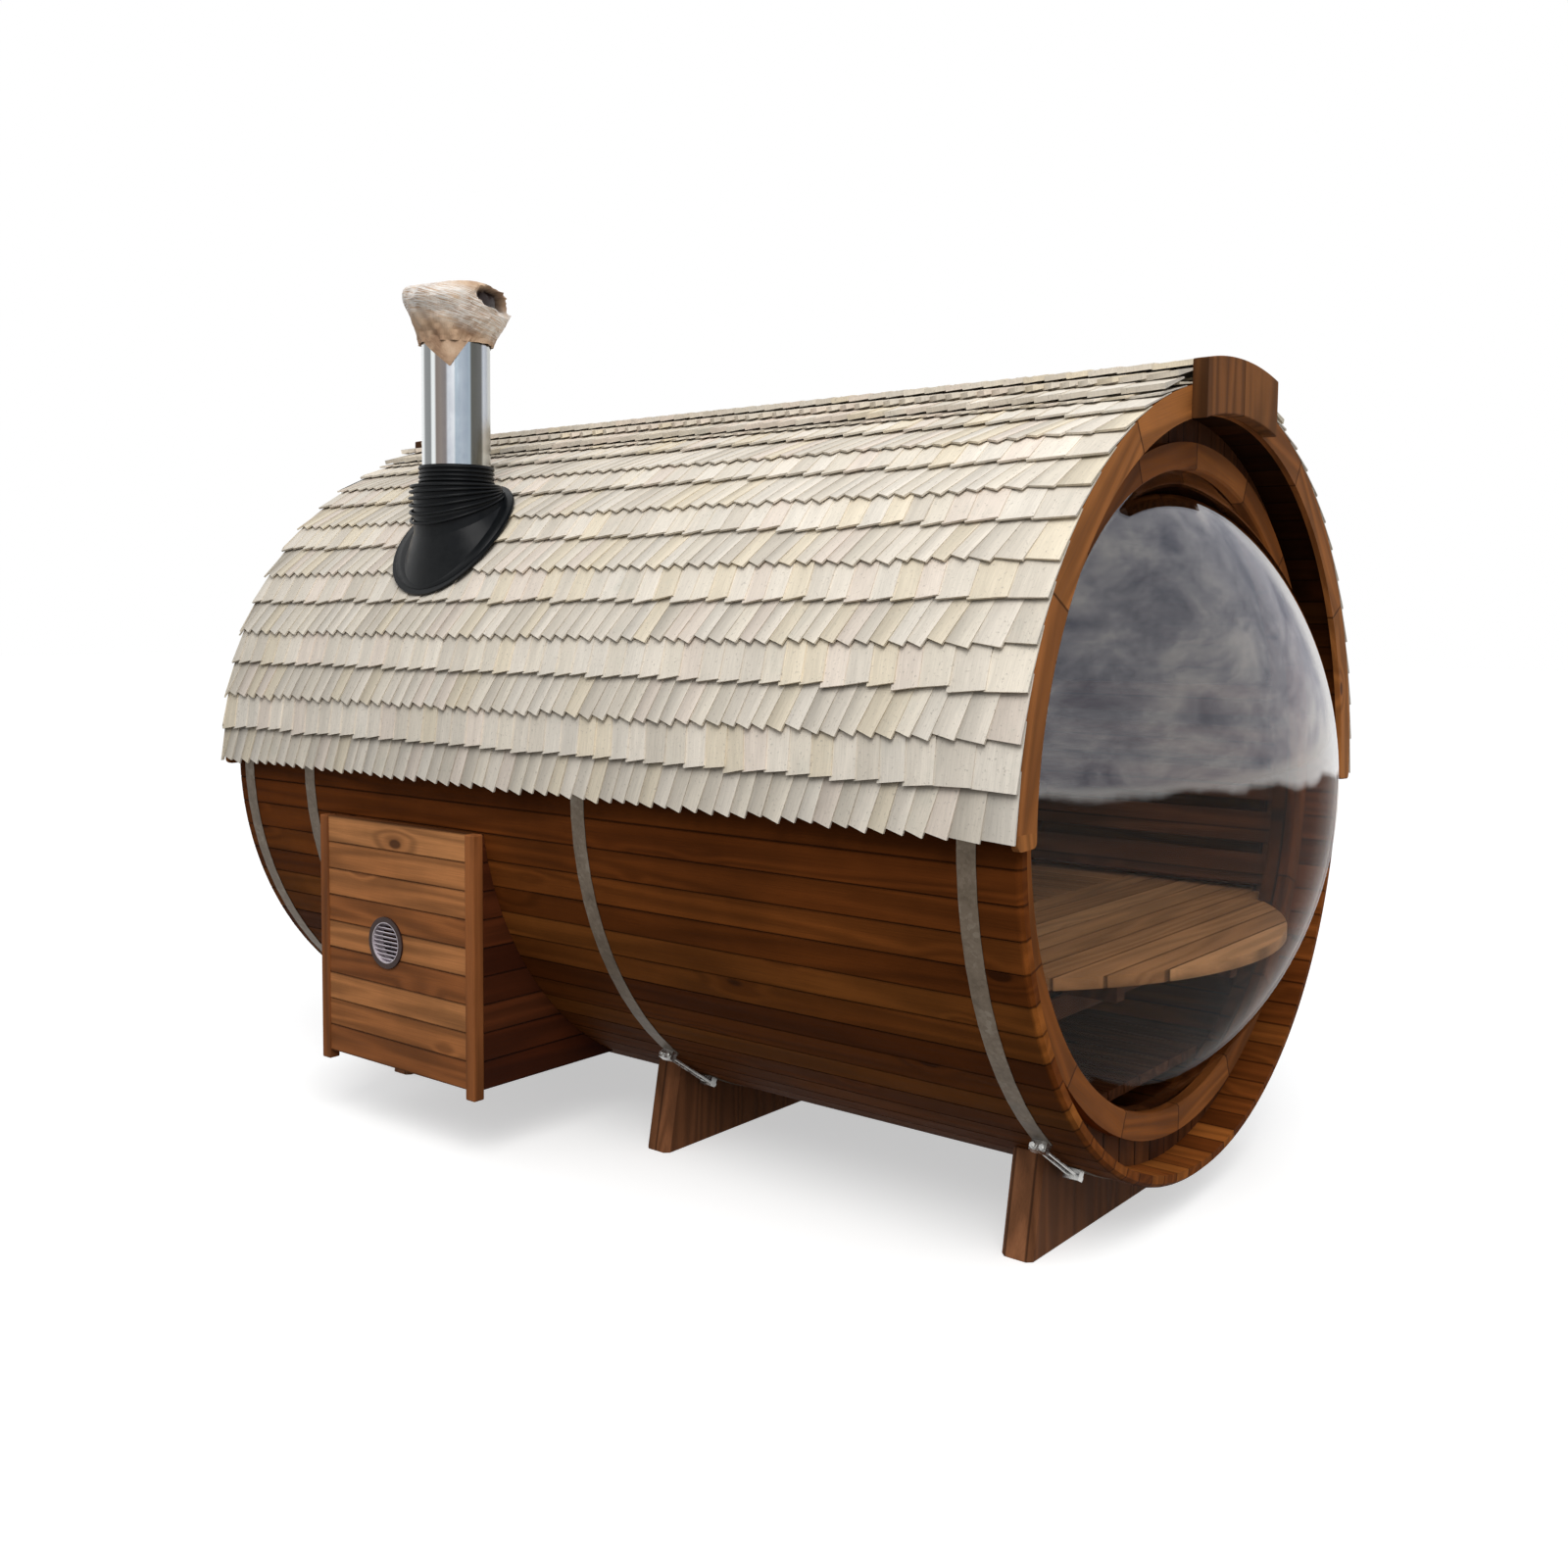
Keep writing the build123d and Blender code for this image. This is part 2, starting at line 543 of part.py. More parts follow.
def make_front_wall():
    window = drum(WINDOW_RADIUS, WALL_INSET - 1, FRONT_WALL_BACK + 1)
    disc = drum(LINING_RADIUS, WALL_INSET - 1, FRONT_WALL_BACK + 1) - window
    right = wall_boards(0, BARREL_RADIUS, WALL_INSET, FRONT_WALL_BACK) & disc
    save("front_wall_right", right)
    save("front_wall_left", mirror(right, about=Plane.YZ))


def make_bubble():
    """Blown dome with a flat flange, turned about the barrel's axis."""
    outer_turn = math.acos((BUBBLE_CENTRE_Y - BUBBLE_FLANGE_Y) / BUBBLE_RADIUS) / BUBBLE_BANDS
    inner_turn = math.acos((BUBBLE_CENTRE_Y - WALL_INSET) / BUBBLE_INNER_RADIUS) / BUBBLE_BANDS
    outer = []
    inner = []
    for band in range(BUBBLE_BANDS + 1):
        for points, radius, turn in ((outer, BUBBLE_RADIUS, outer_turn), (inner, BUBBLE_INNER_RADIUS, inner_turn)):
            angle = band * turn
            points.append((radius * math.sin(angle), BUBBLE_CENTRE_Y - radius * math.cos(angle)))
    rim = [(BUBBLE_FLANGE_RADIUS, BUBBLE_FLANGE_Y), (BUBBLE_FLANGE_RADIUS, WALL_INSET)]
    outline = outer + rim + inner[::-1]
    save("bubble_window", revolve(make_face(Polyline(*outline, close=True)), axis=Axis.Y))


def make_bubble_ring():
    """Segmented ring with a rebate that holds the bubble's flange."""
    inner = WINDOW_RADIUS + RING_CLEARANCE
    rebate = BUBBLE_FLANGE_RADIUS + RING_CLEARANCE
    seat = BUBBLE_FLANGE_Y - SEAT_GAP
    outline = [
        (inner + RING_BEVEL, RING_FRONT_Y),
        (RING_OUTER_RADIUS, RING_FRONT_Y),
        (RING_OUTER_RADIUS, WALL_INSET),
        (rebate, WALL_INSET),
        (rebate, seat),
        (inner, seat),
        (inner, RING_FRONT_Y + RING_BEVEL),
    ]
    turn = FULL_TURN / RING_SEGMENTS
    gap = math.degrees(JOINT_GAP / RING_OUTER_RADIUS)
    segment = revolve(make_face(Polyline(*outline, close=True)), axis=Axis.Y, revolution_arc=turn - gap)
    save("bubble_ring", joined(Rot(0, index * turn, 0) * segment for index in range(RING_SEGMENTS)))


def box_side(near, far, face, depth):
    """Boarded side of the stove box, scribed to the barrel's curve."""
    other = far if face == near else near
    seams = grooved_line(BOX_TOP, BOX_BOTTOM, BOX_BOARD_HEIGHT, face, depth)
    outline = [(y, z) for z, y in seams] + [(other, BOX_BOTTOM), (other, BOX_TOP)]
    slab = along_x(make_face(Polyline(*outline, close=True)), BOX_INNER_X, 0)
    return slab - drum(SEAT_RADIUS, near - 1, far + 1)


def make_stove_box():
    inner_near = BOX_NEAR_Y + BOX_BOARD_THICKNESS
    inner_far = BOX_FAR_Y - BOX_BOARD_THICKNESS
    seams = grooved_line(BOX_TOP, BOX_BOTTOM, BOX_BOARD_HEIGHT, BOX_FACE_X, GROOVE_DEPTH)
    outline = [(x, z) for z, x in seams] + [(BOX_INNER_X, BOX_BOTTOM), (BOX_INNER_X, BOX_TOP)]
    panel = along_y(make_face(Polyline(*outline, close=True)), BOX_NEAR_Y + POST_WIDTH, BOX_FAR_Y - POST_WIDTH)
    vent_y = BOX_MIDDLE_Y + VENT_OFFSET
    hole = along_x(Pos(vent_y, VENT_HEIGHT) * Circle(VENT_HOLE_RADIUS), BOX_FACE_X - 1, BOX_INNER_X + 1)
    save("stove_box_front", panel - hole)
    near_side = box_side(BOX_NEAR_Y, inner_near, BOX_NEAR_Y, GROOVE_DEPTH)
    far_side = box_side(inner_far, BOX_FAR_Y, BOX_FAR_Y, -GROOVE_DEPTH)
    save("stove_box_sides", near_side + far_side)
    base_low = (BOX_INNER_X, inner_near, BOX_BOTTOM)
    base_high = (0, inner_far, BOX_BOTTOM + BOX_BOARD_THICKNESS)
    save("stove_box_bottom", block(base_low, base_high) - drum(SEAT_RADIUS, inner_near - 1, inner_far + 1))
    posts = []
    for near in (BOX_NEAR_Y, BOX_FAR_Y - POST_WIDTH):
        low = (BOX_FACE_X - POST_PROUD, near, BOX_BOTTOM - POST_DROP)
        posts.append(block(low, (BOX_INNER_X, near + POST_WIDTH, BOX_TOP)))
    save("stove_box_posts", joined(posts))


def make_vent():
    """Round louvred air vent: a flange on the boards, a sleeve in the hole and tilted slats."""
    vent_y = BOX_MIDDLE_Y + VENT_OFFSET
    centre = Pos(vent_y, VENT_HEIGHT)
    sleeve_outer = VENT_HOLE_RADIUS - SEAT_GAP
    sleeve_inner = sleeve_outer - VENT_WALL
    bore = Circle(sleeve_inner)
    flange = along_x(centre * (Circle(VENT_RADIUS) - bore), BOX_FACE_X - VENT_FLANGE, BOX_FACE_X)
    sleeve = along_x(centre * (Circle(sleeve_outer) - bore), BOX_FACE_X, BOX_INNER_X)
    pitch = 2 * sleeve_inner / VENT_SLATS
    slat_depth = pitch / math.cos(math.radians(VENT_SLAT_TILT))
    slat_x = BOX_FACE_X - VENT_FLANGE / 2 + slat_depth / 2
    bar = Box(slat_depth, 2 * VENT_RADIUS, VENT_SLAT_THICKNESS)
    slats = []
    for index in range(VENT_SLATS):
        z = VENT_HEIGHT + (index - (VENT_SLATS - 1) / 2) * pitch
        slats.append(Pos(slat_x, vent_y, z) * Rot(0, VENT_SLAT_TILT, 0) * bar)
    keep = along_x(centre * Circle(sleeve_inner + VENT_WALL / 2), BOX_FACE_X - VENT_FLANGE, BOX_INNER_X)
    save("vent_grille", flange + sleeve + (joined(slats) & keep))


def boot_plane(tilt, radius, inset):
    """Plane of one fold of the boot. Its high side sinks a little as it tilts."""
    turn = math.radians(tilt)
    pivot_x = FLUE_X + FLUE_RADIUS + BOOT_PIVOT_REACH + BOOT_PIVOT_OUT * tilt - inset
    pivot_z = ROOF_AT_FLUE + BOOT_PIVOT_HEIGHT - BOOT_PIVOT_DOWN * tilt
    centre = (pivot_x - radius * math.cos(turn), FLUE_Y, pivot_z - radius * math.sin(turn))
    across = (-math.cos(turn), 0, -math.sin(turn))
    return Plane(origin=centre, x_dir=across, z_dir=(-math.sin(turn), 0, math.cos(turn)))


def boot_body(inset):
    """Bellows and skirt between the upright collar and the roof."""
    folds = [(0.0, FLUE_RADIUS + BOOT_PIVOT_REACH), (BOOT_SKIRT_TILT, BOOT_SKIRT_RADIUS)]
    folds.append((BOOT_BASE_TILT, BOOT_BASE_RADIUS))
    body = Part()
    for (tilt, radius), (next_tilt, next_radius) in zip(folds, folds[1:]):
        upper = boot_plane(tilt, radius - inset, inset) * Circle(radius - inset)
        lower = boot_plane(next_tilt, next_radius - inset, inset) * Circle(next_radius - inset)
        body += loft([upper, lower], ruled=True)
    return body


def boot_flange(bed):
    """Ring of rubber lying on the shingles round the foot of the boot."""
    near = FLUE_Y - 2 * BOOT_BASE_RADIUS
    far = FLUE_Y + 2 * BOOT_BASE_RADIUS
    ring = Circle(BOOT_BASE_RADIUS + BOOT_FLANGE_WIDTH) - Circle(BOOT_BASE_RADIUS - BOOT_RUBBER)
    base = boot_plane(BOOT_BASE_TILT, BOOT_BASE_RADIUS, 0)
    column = extrude(base * ring, BOOT_BASE_RADIUS / 2, both=True)
    return column & (drum(bed + BOOT_RUBBER, near, far) - drum(bed, near, far))


def make_boot():
    """Rubber boot: ribbed collar, tilted folds, a skirt and a flange on the shingles."""
    bed = BUTT_RADIUS + SEAT_GAP
    collar_radius = FLUE_RADIUS + SEAT_GAP + BOOT_RUBBER
    collar_bottom = ROOF_AT_FLUE + BOOT_PIVOT_HEIGHT
    lid_bottom = collar_bottom - BOOT_RUBBER
    boot = boot_body(0) + upright(FLUE_X, FLUE_Y, collar_radius, lid_bottom, BOOT_TOP)
    pitch = (BOOT_TOP - collar_bottom) / BOOT_COLLAR_RIBS
    for rib in range(BOOT_COLLAR_RIBS):
        bottom = BOOT_TOP - BOOT_RIB_HEIGHT - rib * pitch
        boot += upright(FLUE_X, FLUE_Y, collar_radius + BOOT_RIB_PROUD, bottom, bottom + BOOT_RIB_HEIGHT)
    for tilt, radius in BOOT_BELLOWS:
        fold = boot_plane(tilt, radius, -BOOT_RIB_PROUD) * Circle(radius + BOOT_RIB_PROUD)
        boot += extrude(fold, BOOT_RIB_HEIGHT)
    boot -= boot_body(BOOT_RUBBER)
    lid_radius = FLUE_RADIUS + BOOT_PIVOT_REACH - BOOT_RUBBER / 2
    boot += upright(FLUE_X, FLUE_Y, lid_radius, lid_bottom, collar_bottom)
    boot -= upright(FLUE_X, FLUE_Y, FLUE_RADIUS + SEAT_GAP, 0, BOOT_TOP)
    boot -= drum(bed, FLUE_Y - 2 * BOOT_BASE_RADIUS, FLUE_Y + 2 * BOOT_BASE_RADIUS)
    save("chimney_boot", boot + boot_flange(bed))


def make_wrap():
    """Paper folded over the top of the flue, wider above than at its neck."""
    levels = [(WRAP_NECK_RADIUS, WRAP_BOTTOM), (WRAP_RADIUS, (WRAP_BOTTOM + 2 * WRAP_TOP) / 3)]
    levels.append((WRAP_CROWN_RADIUS, WRAP_TOP))
    wrap = Part()
    for (radius, bottom), (next_radius, top) in zip(levels, levels[1:]):
        lower = Pos(FLUE_X, FLUE_Y, bottom) * RegularPolygon(radius, WRAP_FOLDS)
        upper = Pos(FLUE_X, FLUE_Y, top) * RegularPolygon(next_radius, WRAP_FOLDS)
        wrap += loft([lower, upper], ruled=True)
    save("chimney_wrap", wrap - upright(FLUE_X, FLUE_Y, FLUE_RADIUS + SEAT_GAP, 0, FLUE_TOP + SEAT_GAP))


def make_chimney():
    tube = upright(FLUE_X, FLUE_Y, FLUE_RADIUS, FLUE_BOTTOM, FLUE_TOP)
    save("chimney_pipe", tube - upright(FLUE_X, FLUE_Y, FLUE_RADIUS - FLUE_WALL, FLUE_BOTTOM, FLUE_TOP))
    make_boot()
    make_wrap()


def make_platform():
    """Front bench: boards across the barrel whose nose follows the bubble."""
    nose = Pos(0, BUBBLE_CENTRE_Y) * Circle(NOSE_RADIUS)
    deep = PLATFORM_BACK_Y - NOSE_FRONT_Y
    nose = nose & Pos(0, NOSE_FRONT_Y + deep / 2) * Rectangle(2 * NOSE_HALF_WIDTH, deep)
    wide = PLATFORM_BACK_Y - PLATFORM_FRONT_Y
    seat = Pos(0, PLATFORM_FRONT_Y + wide / 2) * Rectangle(2 * BENCH_HALF_WIDTH, wide)
    nose = fillet(nose.vertices().sort_by(Axis.Y)[:2], NOSE_CORNER_RADIUS)
    outline = nose + seat
    boards = []
    for index in range(PLATFORM_BOARDS):
        middle = NOSE_FRONT_Y + index * BENCH_PITCH + (BENCH_PITCH - BENCH_GAP) / 2
        strip = Pos(0, middle) * Rectangle(2 * BENCH_HALF_WIDTH + 2, BENCH_PITCH - BENCH_GAP)
        boards.append(Pos(0, 0, BENCH_UNDERSIDE) * extrude(outline & strip, BENCH_BOARD))
    save("bench_front", joined(boards))


def platform_frame():
    """Bearers under the front bench, on two joists that reach the barrel wall."""
    pieces = []
    for side, front_y in ((-1, FRONT_WALL_BACK / 4), (0, NOSE_FRONT_Y / 2), (1, FRONT_WALL_BACK / 4)):
        x = side * BEARER_SPACING
        low = (x - BEARER_WIDTH / 2, front_y, BEARER_BOTTOM)
        pieces.append(block(low, (x + BEARER_WIDTH / 2, PLATFORM_BACK_Y - BENCH_GAP, BENCH_UNDERSIDE)))
    for y in (PLATFORM_FRONT_Y + BEARER_WIDTH / 2, PLATFORM_BACK_Y - 2 * BEARER_WIDTH):
        low = (-BARREL_RADIUS, y, BEARER_BOTTOM - BEARER_HEIGHT)
        pieces.append(block(low, (BARREL_RADIUS, y + BEARER_WIDTH, BEARER_BOTTOM)))
    return joined(pieces) & drum(LINING_RADIUS, NOSE_FRONT_Y, PLATFORM_BACK_Y)


def make_side_bench():
    boards = []
    for index in range(SIDE_BENCH_BOARDS):
        x = SIDE_BENCH_INNER_X + index * BENCH_PITCH
        low = (x, SIDE_BENCH_FRONT_Y, BENCH_UNDERSIDE)
        boards.append(block(low, (x + BENCH_PITCH - BENCH_GAP, SIDE_BENCH_BACK_Y, BENCH_TOP)))
    save("bench_side", joined(boards))
    frames = []
    span = SIDE_BENCH_BACK_Y - SIDE_BENCH_FRONT_Y - 4 * BEARER_WIDTH
    for index in range(SIDE_FRAME_COUNT):
        y = SIDE_BENCH_FRONT_Y + BEARER_WIDTH + index * span / (SIDE_FRAME_COUNT - 1)
        rail = block(
            (SIDE_BENCH_INNER_X + BEARER_WIDTH / 2, y, BEARER_BOTTOM),
            (BARREL_RADIUS, y + BEARER_WIDTH, BENCH_UNDERSIDE),
        )
        leg = block(
            (SIDE_BENCH_INNER_X + BEARER_WIDTH / 2, y, FLOOR_TOP),
            (SIDE_BENCH_INNER_X + BEARER_WIDTH * 1.5, y + BEARER_WIDTH, BENCH_UNDERSIDE),
        )
        frames.append((rail + leg) & drum(LINING_RADIUS, y - 1, y + BEARER_WIDTH + 1))
    save("bench_frames", joined(frames) + platform_frame())


def make_backrest():
    """Slats along the wall behind the side bench, on ribs scribed to the barrel."""
    seat = math.sqrt((BACKREST_FACE_RADIUS - SEAT_GAP) ** 2 - (SLAT_WIDTH / 2) ** 2)
    turn = math.degrees((SLAT_WIDTH + SLAT_GAP) / BACKREST_FACE_RADIUS)
    length = SIDE_BENCH_BACK_Y - PLATFORM_FRONT_Y
    middle_y = (SIDE_BENCH_BACK_Y + PLATFORM_FRONT_Y) / 2
    slats = []
    for index in range(SLAT_COUNT):
        angle = BACKREST_START_ANGLE + index * turn
        slat = Pos(seat - SLAT_THICKNESS / 2, middle_y, 0) * Box(SLAT_THICKNESS, length, SLAT_WIDTH)
        slats.append(Rot(0, -angle, 0) * slat)
    save("backrest_slats", joined(slats))
    top_angle = BACKREST_START_ANGLE + (SLAT_COUNT - 0.5) * turn
    rib_face = sector(BACKREST_FACE_RADIUS, LINING_RADIUS, -45, top_angle)
    ribs = []
    for index in range(SIDE_FRAME_COUNT):
        y = PLATFORM_FRONT_Y + index * (length - BEARER_WIDTH) / (SIDE_FRAME_COUNT - 1)
        seat_cut = block((0, y - 1, -BARREL_RADIUS), (BARREL_RADIUS, y + BEARER_WIDTH + 1, BENCH_TOP + SEAT_GAP))
        ribs.append(along_y(rib_face, y, y + BEARER_WIDTH) - seat_cut)
    save("backrest_ribs", joined(ribs))


def make_floor():
    near = FRONT_WALL_BACK + FLOOR_END_CLEARANCE
    far = REAR_WALL_IN - FLOOR_END_CLEARANCE
    pitch = FLOOR_BOARD_WIDTH + FLOOR_BOARD_GAP
    boards = []
    for index in range(FLOOR_BOARDS):
        middle = (index - (FLOOR_BOARDS - 1) / 2) * pitch
        low = (middle - FLOOR_BOARD_WIDTH / 2, near, FLOOR_UNDERSIDE)
        boards.append(block(low, (middle + FLOOR_BOARD_WIDTH / 2, far, FLOOR_TOP)))
    bearers = []
    for index in range(FLOOR_BEARERS):
        y = near + FLOOR_BEARER_WIDTH + index * (far - near - 3 * FLOOR_BEARER_WIDTH) / (FLOOR_BEARERS - 1)
        low = (-BARREL_RADIUS, y, FLOOR_UNDERSIDE - FLOOR_BEARER_HEIGHT)
        bearer = block(low, (BARREL_RADIUS, y + FLOOR_BEARER_WIDTH, FLOOR_UNDERSIDE))
        bearers.append(bearer & drum(LINING_RADIUS, y - 1, y + FLOOR_BEARER_WIDTH + 1))
    save("floor_deck", joined(boards + bearers))


def make_rear_wall():
    half = DOORWAY_WIDTH / 2
    disc = drum(LINING_RADIUS, REAR_WALL_IN - 1, REAR_WALL_OUT + 1)
    right = wall_boards(half, BARREL_RADIUS, REAR_WALL_OUT, REAR_WALL_IN) & disc
    save("rear_wall_right", right)
    save("rear_wall_left", mirror(right, about=Plane.YZ))
    middle = wall_boards(-half, half, REAR_WALL_OUT, REAR_WALL_IN) & disc
    above = block((-half, REAR_WALL_IN - 1, DOORWAY_TOP), (half, REAR_WALL_OUT + 1, BARREL_RADIUS))
    below = block((-half, REAR_WALL_IN - 1, -BARREL_RADIUS), (half, REAR_WALL_OUT + 1, DOORWAY_BOTTOM))
    save("rear_wall_over_door", middle & above)
    save("rear_wall_under_door", middle & below)


def make_door():
    half = DOORWAY_WIDTH / 2
    near = REAR_WALL_IN - FRAME_PROUD
    outer = block((-half, near, DOORWAY_BOTTOM), (half, DOOR_OUT_Y, DOORWAY_TOP))
    inner_low = (-half + FRAME_WIDTH, near - 1, DOORWAY_BOTTOM + FRAME_WIDTH)
    inner_high = (half - FRAME_WIDTH, DOOR_OUT_Y + 1, DOORWAY_TOP - FRAME_WIDTH)
    save("door_frame", outer - block(inner_low, inner_high))
    boards = wall_boards(-DOOR_HALF_WIDTH, DOOR_HALF_WIDTH, DOOR_OUT_Y, DOOR_OUT_Y - WALL_THICKNESS)
    height = block(
        (-DOOR_HALF_WIDTH, REAR_WALL_IN, DOOR_BOTTOM),
        (DOOR_HALF_WIDTH, DOOR_OUT_Y + 1, DOOR_TOP),
    )
    save("door_leaf", boards & height)
    pin_x = DOOR_HALF_WIDTH + DOOR_GAP / 2
    hinges = []
    for share in (0.12, 0.5, 0.88):
        z = DOOR_BOTTOM + share * (DOOR_TOP - DOOR_BOTTOM)
        low = (pin_x - HINGE_REACH, DOOR_OUT_Y, z - HINGE_HEIGHT / 2)
        plate = block(low, (pin_x + FRAME_WIDTH * 0.7, DOOR_OUT_Y + HINGE_PLATE, z + HINGE_HEIGHT / 2))
        pin_y = DOOR_OUT_Y + HINGE_PLATE
        hinges.append(plate + upright(pin_x, pin_y + 1, HINGE_PIN_RADIUS, z - HINGE_HEIGHT / 2, z + HINGE_HEIGHT / 2))
    keep = block((0, DOOR_OUT_Y, -BARREL_RADIUS), (BARREL_RADIUS, DOOR_OUT_Y + 99, BARREL_RADIUS))
    hinges = joined(hinge & keep for hinge in hinges)
    handle_x = -DOOR_HALF_WIDTH + 2.5 * HANDLE_BAR
    out_y = DOOR_OUT_Y + HANDLE_STANDOFF
    bar = block(
        (handle_x - HANDLE_BAR / 2, out_y - HANDLE_BAR / 2, -HANDLE_LENGTH / 2),
        (handle_x + HANDLE_BAR / 2, out_y + HANDLE_BAR / 2, HANDLE_LENGTH / 2),
    )
    for end in (-1, 1):
        z = end * (HANDLE_LENGTH / 2 - 1.5 * HANDLE_BAR)
        low = (handle_x - HANDLE_BAR / 2, DOOR_OUT_Y, z - HANDLE_BAR / 2)
        bar += block(low, (handle_x + HANDLE_BAR / 2, out_y, z + HANDLE_BAR / 2))
    save("door_hardware", hinges + bar)


os.makedirs("parts", exist_ok=True)
make_barrel()
make_hoops()
make_cradles()
make_roof()
make_fascias()
make_front_wall()
make_bubble()
make_bubble_ring()
make_stove_box()
make_vent()
make_chimney()
make_platform()
make_side_bench()
make_backrest()
make_floor()
make_rear_wall()
make_door()
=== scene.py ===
import math
import random
from typing import NamedTuple

import bmesh
import bpy
from mathutils import Matrix, Vector, noise


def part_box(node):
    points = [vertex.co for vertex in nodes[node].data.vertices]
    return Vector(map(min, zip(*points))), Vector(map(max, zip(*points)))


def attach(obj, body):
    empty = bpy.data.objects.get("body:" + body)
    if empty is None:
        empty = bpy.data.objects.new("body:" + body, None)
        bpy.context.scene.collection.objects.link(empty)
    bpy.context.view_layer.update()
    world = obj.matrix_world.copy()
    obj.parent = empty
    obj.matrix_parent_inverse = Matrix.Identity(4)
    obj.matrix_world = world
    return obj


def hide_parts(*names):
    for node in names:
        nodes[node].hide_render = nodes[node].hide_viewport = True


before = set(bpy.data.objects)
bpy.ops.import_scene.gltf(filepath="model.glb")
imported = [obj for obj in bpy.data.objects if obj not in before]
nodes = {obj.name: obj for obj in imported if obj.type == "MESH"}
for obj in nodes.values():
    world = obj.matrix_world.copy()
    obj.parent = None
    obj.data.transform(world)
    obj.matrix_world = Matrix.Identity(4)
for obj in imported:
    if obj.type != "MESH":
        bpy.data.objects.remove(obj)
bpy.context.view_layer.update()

# Everything is in metres. The barrel lies along Y, its axis AXIS_HEIGHT above the ground and its
# front rim at RIM_Y. Angles go from +X towards +Z, as in the part's source.
SEED = 7335
LEFT, RIGHT = -1, 1
X, Y, Z = range(3)

rng = random.Random(SEED)


def low_of(name):
    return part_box(name)[0]


def high_of(name):
    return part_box(name)[1]


def middle_of(name):
    return (low_of(name) + high_of(name)) / 2


BARREL_RADIUS = 1.050
STAVE_COUNT = 80
AXIS_HEIGHT = (low_of("hoop_front").z + high_of("hoop_front").z) / 2
RIM_Y = low_of("barrel_top_left").y
END_Y = high_of("barrel_top_left").y
FLUE = middle_of("chimney_pipe").xy
FLUE_TOP = high_of("chimney_pipe").z
VENT = middle_of("vent_grille")


class Graph:
    """Short way to write a node tree."""

    def __init__(self, tree):
        self.tree = tree

    def put(self, socket, value):
        """Links a socket to another one, or gives it a number, a vector or a colour."""
        if isinstance(value, bpy.types.NodeSocket):
            self.tree.links.new(value, socket)
            return
        given = socket.default_value
        size = len(given) if hasattr(given, "__len__") else 0
        if size and not hasattr(value, "__len__"):
            value = [value] * size
        elif size == 4 and len(value) == 3:
            value = (*value, 1.0)
        socket.default_value = value

    def node(self, kind, inputs=None, **settings):
        made = self.tree.nodes.new("ShaderNode" + kind)
        for key, value in settings.items():
            setattr(made, key, value)
        for key, value in (inputs or {}).items():
            self.put(made.inputs[key], value)
        return made

    def maths(self, operation, *values):
        return self.node("Math", dict(enumerate(values)), operation=operation).outputs[0]

    def add(self, a, b):
        return self.maths("ADD", a, b)

    def minus(self, a, b):
        return self.maths("SUBTRACT", a, b)

    def times(self, a, b):
        return self.maths("MULTIPLY", a, b)

    def length(self, a, b):
        return self.maths("SQRT", self.add(self.times(a, a), self.times(b, b)))

    def seam(self, turn, pitch):
        """Distance from the nearest seam, where seams lie at whole turns, a pitch apart."""
        return self.times(self.maths("PINGPONG", turn, 0.5), pitch)

    def where(self):
        return self.node("TexCoord").outputs["Object"]

    def split(self, vector):
        made = self.node("SeparateXYZ", {0: vector})
        return made.outputs[0], made.outputs[1], made.outputs[2]

    def vector(self, x, y, z):
        return self.node("CombineXYZ", {0: x, 1: y, 2: z}).outputs[0]

    def scaled(self, vector, x, y, z):
        return self.node("VectorMath", {0: vector, 1: (x, y, z)}, operation="MULTIPLY").outputs[0]

    def shifted(self, vector, other):
        return self.node("VectorMath", {0: vector, 1: other}, operation="ADD").outputs[0]

    def noise(self, vector, scale, detail=2.0, rough=0.5, distortion=0.0):
        given = {"Vector": vector, "Scale": scale, "Detail": detail}
        given.update({"Roughness": rough, "Distortion": distortion})
        return self.node("TexNoise", given).outputs["Fac"]

    def cells(self, vector, scale, randomness=1.0):
        given = {"Vector": vector, "Scale": scale, "Randomness": randomness}
        return self.node("TexVoronoi", given, feature="F1")

    def chances(self, colour):
        """Two numbers from 0 to 1 out of a random colour."""
        parts = self.node("SeparateColor", {0: colour}).outputs
        return parts[0], parts[1]

    def step(self, value, low, high):
        """0 below low, 1 above high, smooth between; or the other way round."""
        given = {"Value": value, "From Min": low, "From Max": high}
        return self.node("MapRange", given, interpolation_type="SMOOTHSTEP").outputs[0]

    def span(self, value, low, high, to_low, to_high):
        given = {"Value": value, "From Min": low, "From Max": high}
        given.update({"To Min": to_low, "To Max": to_high})
        return self.node("MapRange", given).outputs[0]

    def mix(self, factor, a, b, mode="MIX"):
        made = self.node("Mix", data_type="RGBA", blend_type=mode)
        for index, value in ((0, factor), (6, a), (7, b)):
            self.put(made.inputs[index], value)
        return made.outputs[2]

    def shaded(self, colour, level):
        """A colour times a level of light."""
        grey = self.node("CombineColor", {0: level, 1: level, 2: level}).outputs[0]
        return self.mix(1.0, colour, grey, "MULTIPLY")

    def ramp(self, value, stops):
        made = self.node("ValToRGB", {0: value})
        bar = made.color_ramp
        while len(bar.elements) < len(stops):
            bar.elements.new(0.5)
        for element, (position, colour) in zip(bar.elements, stops):
            element.position = position
            element.color = (*colour, 1.0)
        return made.outputs[0]

    def seen(self):
        """1 where the camera looks, straight on or by way of a mirror or a clear sheet."""
        light = self.node("LightPath").outputs
        straight = self.maths("MAXIMUM", light["Is Camera Ray"], light["Is Glossy Ray"])
        return self.maths("MAXIMUM", straight, light["Is Transmission Ray"])


